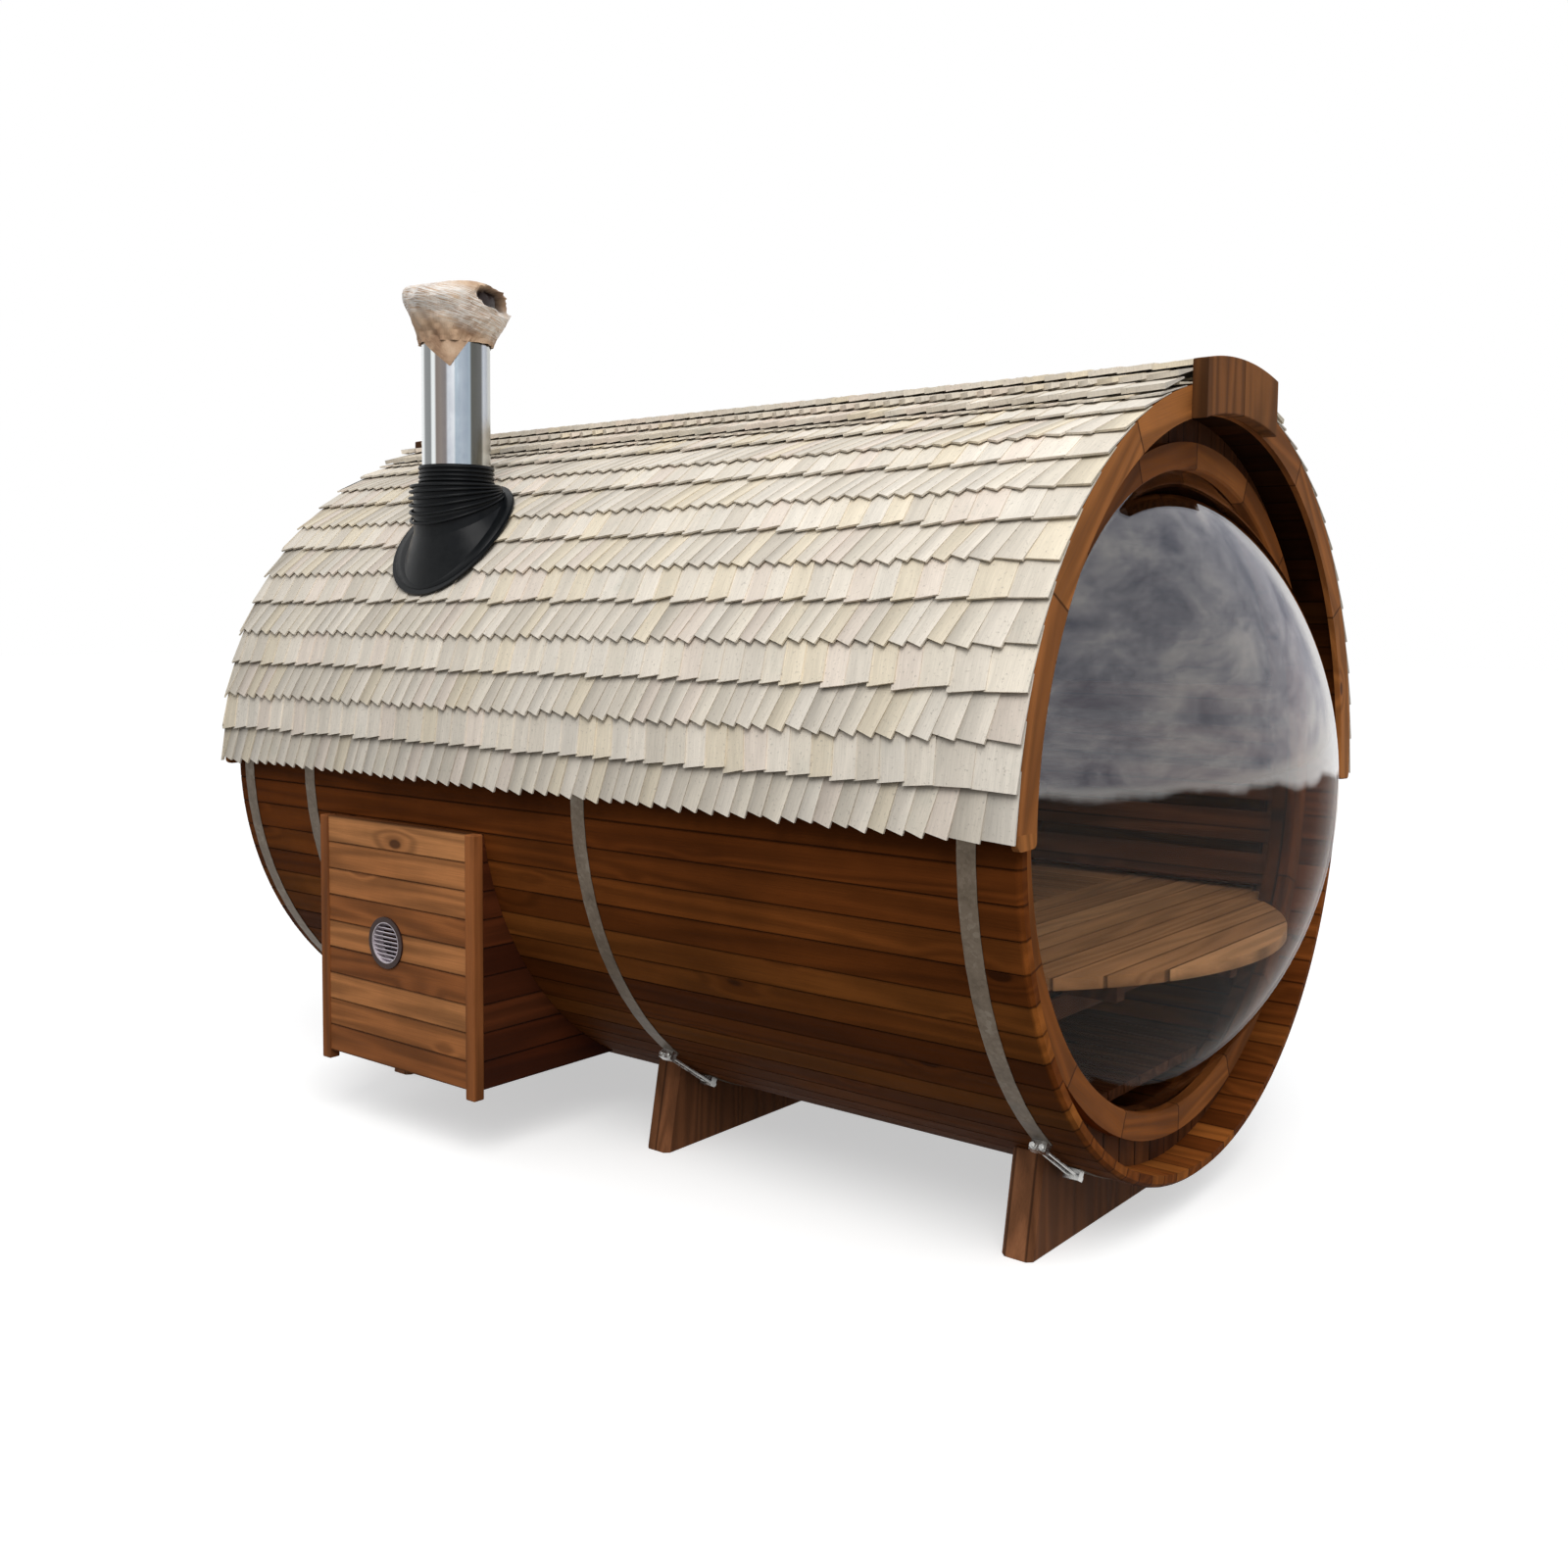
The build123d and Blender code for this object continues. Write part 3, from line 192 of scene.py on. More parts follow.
class Material(Graph):
    """Node tree of a new material, with its shader and its output."""

    def __init__(self, name):
        self.material = bpy.data.materials.new(name)
        self.material.use_nodes = True
        super().__init__(self.material.node_tree)
        self.shader = next(n for n in self.tree.nodes if n.type == "BSDF_PRINCIPLED")
        self.output = next(n for n in self.tree.nodes if n.type == "OUTPUT_MATERIAL")

    def place(self):
        return self.split(self.where())

    def set(self, **values):
        for key, value in values.items():
            self.put(self.shader.inputs[key.replace("_", " ")], value)

    def bump(self, height, distance, strength=1.0):
        given = {"Strength": strength, "Distance": distance, "Height": height}
        self.put(self.shader.inputs["Normal"], self.node("Bump", given).outputs[0])

    def surface(self, shader):
        """Puts another shader in the first one's place."""
        self.put(self.output.inputs["Surface"], shader.outputs[0])
        self.tree.nodes.remove(self.shader)


# Board layouts. Each gives the board's number, the places across, along and into it, and the
# distance from the nearest seam.


def staves(g):
    x, y, z = g.place()
    up = g.minus(z, AXIS_HEIGHT)
    turn = g.times(g.maths("ARCTAN2", up, x), STAVE_COUNT / math.tau)
    pitch = math.tau * BARREL_RADIUS / STAVE_COUNT
    return g.maths("FLOOR", turn), g.times(turn, pitch), y, g.length(x, up), g.seam(turn, pitch)


def planks(across, along, pitch, start):
    """Boards side by side along one axis."""

    def layout(g):
        where = g.place()
        into = X + Y + Z - across - along
        turn = g.times(g.minus(where[across], start), 1 / pitch)
        return g.maths("FLOOR", turn), where[across], where[along], where[into], g.seam(turn, pitch)

    return layout


def arcs(count, start, sweep):
    """Sawn segments of a ring or an arch, with their grain along the middle chord."""
    start = math.radians(start)
    each = math.radians(sweep) / count

    def layout(g):
        x, y, z = g.place()
        up = g.minus(z, AXIS_HEIGHT)
        turn = g.times(g.minus(g.maths("ARCTAN2", up, x), start), 1 / each)
        number = g.maths("FLOOR", turn)
        middle = g.add(g.times(g.add(number, 0.5), each), start)
        cosine = g.maths("COSINE", middle)
        sine = g.maths("SINE", middle)
        across = g.add(g.times(x, cosine), g.times(up, sine))
        along = g.minus(g.times(up, cosine), g.times(x, sine))
        return number, across, along, y, g.seam(turn, each)

    return layout


# Wood. A board's place is in metres across, along and into it, and its patterns are stretched
# along the grain by these shares.
KNOT_CELLS = (5.2, 2.6, 1.5)
KNOT_SIZES = (0.045, 0.115)
RING_STRETCH = (1.0, 0.07, 1.0)
RING_COUNT = 15.0
FIBRE_STRETCH = (1.0, 0.018, 1.0)
CLOUD_STRETCH = (1.0, 0.35, 1.0)
SEAM_EDGES = (0.0012, 0.0055)
# SEAM_SHADE is the level of the painted shade in the grooves between boards
SEAM_SHADE = 0.38
STAVE_INSIDE = (BARREL_RADIUS - 0.002, BARREL_RADIUS - 0.006)


def knots_in(g, place, share):
    """The dark hearts of the knots, and the wider places where the grain bends round them."""
    spots = g.cells(g.scaled(place, *KNOT_CELLS), 1.0, 0.9)
    chance, size_chance = g.chances(spots.outputs["Color"])
    present = g.step(chance, 1 - share, 1.001 - share)
    size = g.span(size_chance, 0, 1, *KNOT_SIZES)
    near = g.maths("DIVIDE", spots.outputs["Distance"], size)
    return g.times(g.step(near, 1.15, 0.75), present), g.times(g.step(near, 3.6, 0.6), present)


def painted_indoor_light(g, radius, height):
    """Painted light on the cabin's side of the staves: pale low down, painted shade under the roof.
    """
    inside = g.step(radius, *STAVE_INSIDE)
    level = g.span(height, 0.25, 1.6, 2.6, 0.12)
    return g.add(g.times(inside, g.minus(level, 1.0)), 1.0)


def wood(name, layout, tones, knots=0.35, rings=0.32, shine=0.10, spread=1.0, soil=0.25, under=1.0):
    """Sawn softwood: tone by board, growth rings bent round knots, fibre, and painted shade in the
    seams.

    knots is the share of cells with a knot, rings how dark the rings are, spread how much the
    boards differ, soil how dark the dirt is, and under the level of light near the ground."""
    g = Material(name)
    number, across, along, into, seam = layout(g)
    board = g.node("TexWhiteNoise", {"W": g.add(number, len(name) * 3.7)}, noise_dimensions="1D")
    offset = g.scaled(board.outputs["Color"], 9.0, 5.0, 7.0)
    place = g.shifted(g.vector(across, along, into), offset)
    height = g.place()[Z]

    knot, halo = knots_in(g, place, knots)
    field = g.add(g.noise(g.scaled(place, *RING_STRETCH), 8.0, 2.0, 0.4), g.times(halo, 0.16))
    lines = g.step(g.maths("PINGPONG", g.times(field, RING_COUNT), 1.0), 0.05, 0.95)
    fibre = g.noise(g.scaled(place, *FIBRE_STRETCH), 330.0, 3.0, 0.6)
    cloud = g.noise(g.scaled(place, *CLOUD_STRETCH), 3.2, 3.0)
    dirt = g.noise(g.where(), 2.1, 4.0, 0.6)

    tone = g.add(g.times(g.minus(board.outputs["Value"], 0.5), spread), 0.5)
    tone = g.add(tone, g.times(g.minus(cloud, 0.5), 0.55))
    colour = g.ramp(tone, [(i / (len(tones) - 1), c) for i, c in enumerate(tones)])
    level = g.span(lines, 0, 1, 1 - rings, 1 + rings * 0.3)
    level = g.times(level, g.span(fibre, 0.3, 0.7, 0.86, 1.12))
    level = g.times(level, g.span(dirt, 0.35, 0.7, 1 - soil, 1.06))
    level = g.times(level, g.span(height, 0.25, 1.0, under, 1.0))
    # Painted light and shade inside the barrel: brighter low down, darker under the roof
    if layout is staves:
        level = g.times(level, painted_indoor_light(g, into, height))
    # Painted shade in the grooves along the board seams
    level = g.times(level, g.span(g.step(seam, *SEAM_EDGES), 0, 1, SEAM_SHADE, 1.0))
    colour = g.shaded(colour, level)
    heart = tuple(v * 0.22 for v in tones[0])
    colour = g.mix(g.times(knot, 0.85), colour, heart)
    colour = g.mix(g.times(g.minus(halo, knot), 0.3), colour, tones[0])

    g.bump(g.add(g.times(fibre, 0.6), g.times(lines, 0.4)), 0.0011, 0.7)
    g.set(Base_Color=colour, Roughness=g.span(fibre, 0.3, 0.7, 0.58, 0.76))
    g.set(Specular_IOR_Level=shine)
    return g.material


def dress(material, *names):
    for name in names:
        mesh = nodes[name].data
        mesh.materials.clear()
        mesh.materials.append(material)


def nodes_named(prefix):
    return [name for name in nodes if name.startswith(prefix)]


# Rounding of the sawn edges, and the angle from which an edge counts
SMALL_EDGE = 0.003
LARGE_EDGE = 0.004
EDGE_ANGLE = math.radians(50)
WELD_DISTANCE = 0.00002


def soften(width, *names):
    """Rounds the sawn edges of CAD pieces."""
    for name in names:
        weld = nodes[name].modifiers.new("weld", "WELD")
        weld.merge_threshold = WELD_DISTANCE
        bevel = nodes[name].modifiers.new("bevel", "BEVEL")
        bevel.width = width
        bevel.segments = 2
        bevel.limit_method = "ANGLE"
        bevel.angle_limit = EDGE_ANGLE
        bevel.harden_normals = False


# Tones of the woods, from dark to pale
STAVE_TONES = [(0.125, 0.032, 0.006), (0.20, 0.056, 0.011), (0.27, 0.08, 0.016), (0.42, 0.145, 0.03)]
# Darker tones for the stove box sides: painted shade
PAINTED_SHADE_TONES = [(0.060, 0.012, 0.003), (0.095, 0.022, 0.006), (0.130, 0.034, 0.010)]
BOX_TONES = [(0.22, 0.070, 0.022), (0.38, 0.135, 0.042), (0.50, 0.195, 0.066), (0.58, 0.250, 0.092)]
FASCIA_TONES = [(0.36, 0.125, 0.034), (0.53, 0.200, 0.054), (0.62, 0.245, 0.072)]
KEYSTONE_TONES = [(0.24, 0.090, 0.026), (0.34, 0.135, 0.040)]
RING_TONES = [(0.23, 0.072, 0.014), (0.33, 0.105, 0.022), (0.41, 0.140, 0.034)]
WALL_TONES = [(0.17, 0.055, 0.018), (0.27, 0.098, 0.030), (0.36, 0.140, 0.044)]
# Front walls: the wall tones darkened with painted shade of the recess under the fascia
PAINTED_SHADE_WALL_TONES = [(0.085, 0.026, 0.008), (0.140, 0.046, 0.013), (0.19, 0.068, 0.020)]
CRADLE_TONES = [(0.20, 0.080, 0.034), (0.30, 0.118, 0.050), (0.37, 0.155, 0.070)]
BENCH_TONES = [(0.54, 0.295, 0.140), (0.72, 0.410, 0.200), (0.82, 0.490, 0.255)]
BACKREST_TONES = [(0.12, 0.045, 0.020), (0.17, 0.065, 0.030), (0.22, 0.090, 0.042)]
DECK_TONES = [(0.42, 0.33, 0.22), (0.55, 0.44, 0.30)]

# Widths of the boards, and the places where a run of boards starts
BOX_BOARD = 0.084
POST_PITCH = 0.35
POST_START = -0.01
WALL_BOARD = 0.095
DOOR_BOARD = 0.09905
DOOR_START = -0.297
KEYSTONE_BOARD = 0.242
BENCH_BOARD = 0.088
BENCH_GAP = 0.006
FLOOR_BOARD = 0.098
FLOOR_START = -0.539
CRADLE_PLY = 0.06
DECK_BOARD = 0.1
BEARER_PITCH = 0.3
RIB_PITCH = 0.4
SLAT_PITCH = 0.14
SLAT_START = 0.1
FRAME_PITCH = 2.0
FASCIA_SEGMENTS = 6
FASCIA_START = -2
FASCIA_SWEEP = 184
RING_SEGMENTS = 16


def dress_barrel():
    stave_wood = wood(
        "stave_wood", staves, STAVE_TONES,
        knots=0.8, rings=0.26, shine=0.03, spread=0.85, soil=0.3, under=0.5,
    )
    dress(stave_wood, *nodes_named("barrel_"))
    dress(wood("deck_wood", planks(Z, Y, DECK_BOARD, 0.0), DECK_TONES), "roof_deck")
    plies = planks(Y, Z, CRADLE_PLY, 0.0)
    dress(wood("cradle_wood", plies, CRADLE_TONES, knots=0.1), *nodes_named("cradle_"))
    soften(LARGE_EDGE, *nodes_named("cradle_"))


def dress_stove_box():
    front = planks(Z, Y, BOX_BOARD, low_of("stove_box_front").z)
    sides = planks(Z, X, BOX_BOARD, low_of("stove_box_sides").z)
    base = planks(Y, X, DECK_BOARD, 0.0)
    posts = planks(Y, Z, POST_PITCH, low_of("stove_box_posts").y + POST_START)
    dress(wood("box_front_wood", front, BOX_TONES, knots=0.85, spread=1.25), "stove_box_front")
    # The box sides take much darker tones than its front: painted shade
    dress(wood("box_side_wood", sides, PAINTED_SHADE_TONES, knots=0.3), "stove_box_sides")
    dress(wood("box_base_wood", base, STAVE_TONES), "stove_box_bottom")
    dress(wood("post_wood", posts, BOX_TONES[:3], knots=0.1), "stove_box_posts")
    soften(LARGE_EDGE, "stove_box_posts")


def dress_ends():
    segments = arcs(FASCIA_SEGMENTS, FASCIA_START, FASCIA_SWEEP)
    fascia_wood = wood("fascia_wood", segments, FASCIA_TONES, knots=0.25, spread=0.8)
    dress(fascia_wood, "front_fascia", "rear_fascia")
    keystone = planks(X, Z, KEYSTONE_BOARD, -KEYSTONE_BOARD)
    keystone_wood = wood("keystone_wood", keystone, KEYSTONE_TONES, rings=0.4)
    dress(keystone_wood, "front_keystone", "rear_keystone")
    soften(SMALL_EDGE, "front_keystone", "rear_keystone")
    dress(wood("ring_wood", arcs(RING_SEGMENTS, 0, 360), RING_TONES, knots=0.1), "bubble_ring")
    wall = planks(X, Z, WALL_BOARD, 0.0)
    # The front walls take darker tones: painted shade of the recess under the fascia
    dress(wood("front_wall_wood", wall, PAINTED_SHADE_WALL_TONES), *nodes_named("front_wall"))
    dress(wood("rear_wall_wood", wall, WALL_TONES), *nodes_named("rear_wall"))
    dress(wood("door_wood", planks(X, Z, DOOR_BOARD, DOOR_START), WALL_TONES), "door_leaf")
    frame_boards = planks(X, Z, FRAME_PITCH, -FRAME_PITCH / 2)
    dress(wood("door_frame_wood", frame_boards, FASCIA_TONES), "door_frame")


def dress_cabin():
    front = planks(Y, X, BENCH_BOARD, low_of("bench_front").y - BENCH_GAP / 2)
    side = planks(X, Y, BENCH_BOARD, low_of("bench_side").x - BENCH_GAP / 2)
    worn = {"knots": 0.15, "rings": 0.2, "soil": 0.15}
    dress(wood("bench_wood", front, BENCH_TONES, **worn), "bench_front")
    dress(wood("side_bench_wood", side, BENCH_TONES, **worn), "bench_side")
    dress(wood("bearer_wood", planks(Y, X, BEARER_PITCH, 0.0), BACKREST_TONES), "bench_frames")
    dress(wood("floor_wood", planks(X, Y, FLOOR_BOARD, FLOOR_START), BACKREST_TONES), "floor_deck")
    slats = planks(Z, Y, SLAT_PITCH, SLAT_START)
    dress(wood("backrest_wood", slats, BACKREST_TONES, knots=0.1), "backrest_slats")
    dress(wood("rib_wood", planks(Y, Z, RIB_PITCH, 0.0), BACKREST_TONES), "backrest_ribs")
    soften(SMALL_EDGE, "bench_front", "bench_side", "bench_frames", "backrest_slats")


dress_barrel()
dress_stove_box()
dress_ends()
dress_cabin()


# Metal, rubber and plastic
# Colours of the painted reflections on the flue
PALE_REFLECTION = (0.80, 0.83, 0.83)
BLUE_REFLECTION = (0.42, 0.50, 0.55)
SKY_REFLECTION = (0.55, 0.62, 0.66)
GREY_REFLECTION = (0.24, 0.25, 0.25)
WARM_REFLECTION = (0.45, 0.45, 0.42)
BROWN_REFLECTION = (0.22, 0.185, 0.165)
TAUPE_REFLECTION = (0.30, 0.27, 0.25)
DARK_REFLECTION = (0.14, 0.14, 0.12)
OLIVE_REFLECTION = (0.20, 0.20, 0.18)

# The flue's painted reflections: bands down its length, each at its bearing in degrees
FLUE_REFLECTION_BANDS = [
    (-177, GREY_REFLECTION), (-174, PALE_REFLECTION), (-168, PALE_REFLECTION), (-165, BROWN_REFLECTION),
    (-147, TAUPE_REFLECTION), (-144, PALE_REFLECTION), (-134, PALE_REFLECTION), (-131, BLUE_REFLECTION),
    (-120, SKY_REFLECTION), (-107, BLUE_REFLECTION), (-104, DARK_REFLECTION), (-84, OLIVE_REFLECTION),
    (-79, PALE_REFLECTION), (-55, WARM_REFLECTION), (-20, PALE_REFLECTION), (20, DARK_REFLECTION),
    (40, BLUE_REFLECTION), (95, PALE_REFLECTION), (160, PALE_REFLECTION), (168, GREY_REFLECTION),
]
VENT_LOUVRES = 0.0636


def galvanised():
    g = Material("hoop_steel")
    where = g.where()
    flake = g.chances(g.cells(where, 90.0).outputs["Color"])[0]
    stain = g.noise(where, 14.0, 5.0, 0.65)
    rust, dull, bright = (0.055, 0.040, 0.025), (0.120, 0.092, 0.066), (0.23, 0.20, 0.16)
    tone = g.add(g.times(flake, 0.12), g.times(stain, 0.9))
    colour = g.ramp(tone, [(0.25, rust), (0.55, dull), (0.85, bright)])
    g.set(Base_Color=colour, Metallic=0.75, Roughness=g.span(stain, 0.3, 0.7, 0.38, 0.6))
    g.bump(g.noise(where, 60.0, 3.0), 0.0006, 0.4)
    return g.material


def bright_zinc():
    g = Material("zinc")
    stain = g.noise(g.where(), 40.0, 4.0, 0.6)
    colour = g.ramp(stain, [(0.3, (0.36, 0.36, 0.35)), (0.7, (0.72, 0.72, 0.70))])
    g.set(Base_Color=colour, Metallic=1.0, Roughness=g.span(stain, 0.3, 0.7, 0.16, 0.34))
    return g.material


def polished_flue():
    """Rolled stainless tube: painted reflections in long dull and bright bands down its length,
    faint handling marks.
    """
    g = Material("flue_steel")
    x, y, z = g.place()
    angle = g.maths("ARCTAN2", g.minus(y, FLUE.y), g.minus(x, FLUE.x))
    turn = g.maths("FRACT", g.add(g.times(angle, 1 / math.tau), 0.5))
    reflection_bands = sorted(((degrees / 360 + 0.5) % 1.0, colour) for degrees, colour in FLUE_REFLECTION_BANDS)
    marks = g.noise(g.where(), 25.0, 5.0, 0.7)
    # Painted reflections in bands round the pipe, with grey handling marks over them
    colour = g.mix(g.step(marks, 0.66, 0.8), g.ramp(turn, reflection_bands), (0.32, 0.33, 0.33))
    g.set(Base_Color=colour, Metallic=1.0, Roughness=g.span(marks, 0.3, 0.8, 0.16, 0.30))
    around = g.vector(g.maths("COSINE", angle), g.maths("SINE", angle), g.times(z, 0.1))
    g.bump(g.noise(around, 7.0, 2.0), 0.003, 0.2)
    return g.material


def rubber():
    g = Material("boot_rubber")
    where = g.where()
    dust = g.noise(where, 30.0, 5.0, 0.65)
    colour = g.ramp(dust, [(0.35, (0.003, 0.004, 0.005)), (0.75, (0.008, 0.009, 0.010))])
    g.set(Base_Color=colour, Roughness=g.span(dust, 0.3, 0.8, 0.30, 0.45), Specular_IOR_Level=0.14)
    g.bump(g.noise(where, 140.0, 2.0), 0.0006, 0.4)
    return g.material


def vent_plastic():
    """Brown flange round pale louvres."""
    g = Material("vent_plastic")
    x, y, z = g.place()
    radius = g.length(g.minus(y, VENT.y), g.minus(z, VENT.z))
    dust = g.noise(g.where(), 45.0, 4.0, 0.6)
    dusty = g.step(dust, 0.35, 0.8)
    louvres = g.mix(dusty, (0.56, 0.50, 0.55), (0.74, 0.68, 0.72))
    flange = g.mix(dusty, (0.030, 0.012, 0.009), (0.055, 0.026, 0.020))
    edge = g.step(radius, VENT_LOUVRES - 0.0004, VENT_LOUVRES + 0.0004)
    g.set(Base_Color=g.mix(edge, louvres, flange), Roughness=g.span(dust, 0.3, 0.8, 0.35, 0.5))
    g.set(Specular_IOR_Level=0.2)
    return g.material


def dark_steel():
    g = Material("door_metal")
    wear = g.noise(g.where(), 50.0, 4.0, 0.6)
    colour = g.mix(wear, (0.04, 0.04, 0.042), (0.09, 0.088, 0.085))
    g.set(Base_Color=colour, Metallic=0.6, Roughness=0.45)
    return g.material


dress(galvanised(), "hoop_front", "hoop_middle", "hoop_rear", "hoop_end")
dress(bright_zinc(), "hoop_tensioners")
dress(polished_flue(), "chimney_pipe")
dress(vent_plastic(), "vent_grille")
dress(dark_steel(), "door_hardware")


# Making new pieces
MERGE_DISTANCE = 1e-5


def mesh_object(name, vertices, faces, material, smooth=False):
    mesh = bpy.data.meshes.new(name)
    mesh.from_pydata(vertices, [], faces)
    mesh.validate()
    mesh.update()
    mesh.materials.append(material)
    if smooth:
        mesh.polygons.foreach_set("use_smooth", [True] * len(mesh.polygons))
    piece = bpy.data.objects.new(name, mesh)
    bpy.context.scene.collection.objects.link(piece)
    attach(piece, "root")
    return piece


def quads(sections, points, start=0, loop=True, tube=False, flip=False):
    """Faces between sections of points. A loop joins the last section to the first one, and a
    tube the last point of each section to its first one."""
    faces = []
    for section in range(sections if loop else sections - 1):
        here = start + section * points
        there = start + (section + 1) % sections * points
        for point in range(points if tube else points - 1):
            after = (point + 1) % points
            corners = (here + point, there + point, there + after, here + after)
            faces.append((corners[0], *corners[:0:-1]) if flip else corners)
    return faces


def merge_points(piece):
    """Joins the points that lie in one place, at the poles of a turned form."""
    shape = bmesh.new()
    shape.from_mesh(piece.data)
    bmesh.ops.remove_doubles(shape, verts=shape.verts, dist=MERGE_DISTANCE)
    shape.to_mesh(piece.data)
    shape.free()


def thicken(piece, thickness, offset):
    thick = piece.modifiers.new("thick", "SOLIDIFY")
    thick.thickness = thickness
    thick.offset = offset


def by_flue(radius, angle, height):
    """Point at a distance and a bearing from the flue's axis."""
    return (FLUE.x + radius * math.cos(angle), FLUE.y + radius * math.sin(angle), height)


# Shingles. Places on the roof are given along Y and as an arc up the slope from the eave, heights
# over the roof deck.
ROOF_RADIUS = 1.0863
ROOF_REACH = 0.017
ROOF_FRONT_Y = RIM_Y - ROOF_REACH
ROOF_REAR_Y = END_Y + ROOF_REACH
EAVE_ANGLE = -1.2
EAVE_ARC = 0.006
COURSE_COUNT = 16
FRONT_BOARDS = 3.2
LAST_LEANING = 0.08
SETTLING = 0.0028
LEANING_PITCH = 0.051
LEANING_OVERLAP = 0.012
LEANING_ROLL = 0.0075
FLUSH_PITCH = 0.064
FLUSH_OVERLAP = 0.006
FLUSH_ROLL = 0.0035
TIP_THICK = 0.3
TIP_ROLL = 0.4
LEAST_HEIGHT = 0.0004
BOOT_ARC = 0.80
BOOT_CLEAR = 0.165
RIDGE_HEIGHT = 0.0183
RIDGE_FALL = 0.007
RIDGE_THICK = 0.0145
RIDGE_LEANING = 0.8
# Each row of the ridge: its butt's angle, its height over the first courses, its length
RIDGE_ROWS = [
    (68.7, 0.0150, 0.115), (73.3, 0.0300, 0.115), (77.9, 0.0452, 0.115), (83.0, 0.0456, 0.137),
]
SLOPES = [
    (LEFT, "shingle_courses_left", "shingles_left"),
    (RIGHT, "shingle_courses_right", "shingles_right"),
]
SHINGLE_TINTS = [
    (0.80, 0.735, 0.63), (0.79, 0.735, 0.65), (0.83, 0.765, 0.67), (0.80, 0.715, 0.57),
    (0.76, 0.70, 0.61), (0.81, 0.72, 0.63), (0.71, 0.65, 0.56),
]


class Cut(NamedTuple):
    """The boards of one course: their faces fall from the butt to the tip over their length."""

    length: float
    butt: float
    fall: float
    thick: float


class Board(NamedTuple):
    """One board: roll is how far its rear edge drops, shade the painted level of light on that edge.
    """

    lean: float
    pitch: float
    width: float
    roll: float
    shade: float


SLOPE_CUT = Cut(length=0.158, butt=0.0177, fall=0.0152, thick=0.0062)


def shingle_material():
    """Pale split wood: tint, painted edge shade and faint streaks by shingle, grey-green blooms and
    dark specks.
    """
    g = Material("shingle_wood")
    # The tint attribute also carries painted shade on each board's rear edge
    tint = g.node("Attribute", attribute_name="tint").outputs["Color"]
    grain = g.node("Attribute", attribute_name="grain").outputs["Vector"]
    where = g.where()
    streak = g.noise(g.scaled(grain, 1.0, 0.05, 1.0), 260.0, 3.0, 0.6)
    wide = g.noise(g.scaled(grain, 1.0, 0.12, 1.0), 45.0, 2.0)
    speck = g.noise(where, 120.0, 3.0, 0.7)
    bloom = g.noise(where, 9.0, 4.0, 0.65)
    level = g.times(g.span(streak, 0.3, 0.7, 0.90, 1.05), g.span(wide, 0.3, 0.7, 0.93, 1.04))
    colour = g.shaded(tint, level)
    colour = g.mix(g.times(g.step(bloom, 0.55, 0.8), 0.35), colour, (0.53, 0.53, 0.46))
    colour = g.mix(g.times(g.step(speck, 0.58, 0.72), 0.55), colour, (0.30, 0.27, 0.23))
    g.set(Base_Color=colour, Roughness=0.85, Specular_IOR_Level=0.15)
    g.bump(g.add(streak, g.times(speck, 0.4)), 0.0012, 0.6)
    return g.material


def roof_point(y, arc, height, side):
    """Point of one slope; past the roof's ends it stays at the end."""
    angle = math.radians(EAVE_ANGLE) + arc / ROOF_RADIUS
    radius = ROOF_RADIUS + height
    y = min(max(y, ROOF_FRONT_Y), ROOF_REAR_Y)
    return (side * radius * math.cos(angle), y, AXIS_HEIGHT + radius * math.sin(angle))


def from_flue(y, arc, side):
    """Distance over the roof from the middle of the boot's foot."""
    return math.hypot(y - FLUE.y, arc - BOOT_ARC) if side == LEFT else math.inf


class Shingles:
    """Gathers tapered boards into one mesh, with a tint, painted shade on the rear edge and a grain
    direction for each.
    """

    def __init__(self):
        self.vertices = []
        self.faces = []
        self.tints_and_painted_shade = []
        self.grains = []

    def lay(self, y, arc, side, board, cut):
        """Adds a board of eight corners, its face before its back and its butt before its tip."""
        cosine, sine = math.cos(board.lean), math.sin(board.lean)
        start = len(self.vertices)
        tint = rng.choice(SHINGLE_TINTS)
        bright = rng.uniform(0.93, 1.04)
        key = rng.uniform(0, 90)
        butt = (0.0, cut.butt, cut.thick, board.roll)
        tip = (cut.length, cut.butt - cut.fall, cut.thick * TIP_THICK, board.roll * TIP_ROLL)
        for face in (True, False):
            for u, level, thick, roll in (butt, tip):
                for v in (-0.5, 0.5):
                    across = v * board.width
                    height = level - roll * (v + 0.5) - (0 if face else thick)
                    along_y = y + across * cosine - u * sine
                    up = arc + across * sine + u * cosine
                    self.vertices.append(roof_point(along_y, up, max(height, LEAST_HEIGHT), side))
                    # Painted shade: the rear edge darkened as if in the next board's shadow, the
                    # front edge a touch lighter
                    light = bright * (board.shade if v > 0 else 1.03)
                    self.tints_and_painted_shade.append((*(c * light for c in tint), 1.0))
                    self.grains.append((key + across, u, key))
        order = [(0, 1, 3, 2), (4, 6, 7, 5), (0, 4, 5, 1), (1, 5, 7, 3), (3, 7, 6, 2), (2, 6, 4, 0)]
        if side == LEFT:
            order = [corners[::-1] for corners in order]
        self.faces += [tuple(start + i for i in corners) for corners in order]

    def finish(self, name, material, node):
        piece = mesh_object(name, self.vertices, self.faces, material)
        tint = piece.data.attributes.new("tint", "FLOAT_COLOR", "POINT")
        tint.data.foreach_set("color", [c for row in self.tints_and_painted_shade for c in row])
        grain = piece.data.attributes.new("grain", "FLOAT_VECTOR", "POINT")
        grain.data.foreach_set("vector", [c for row in self.grains for c in row])
        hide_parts(node)


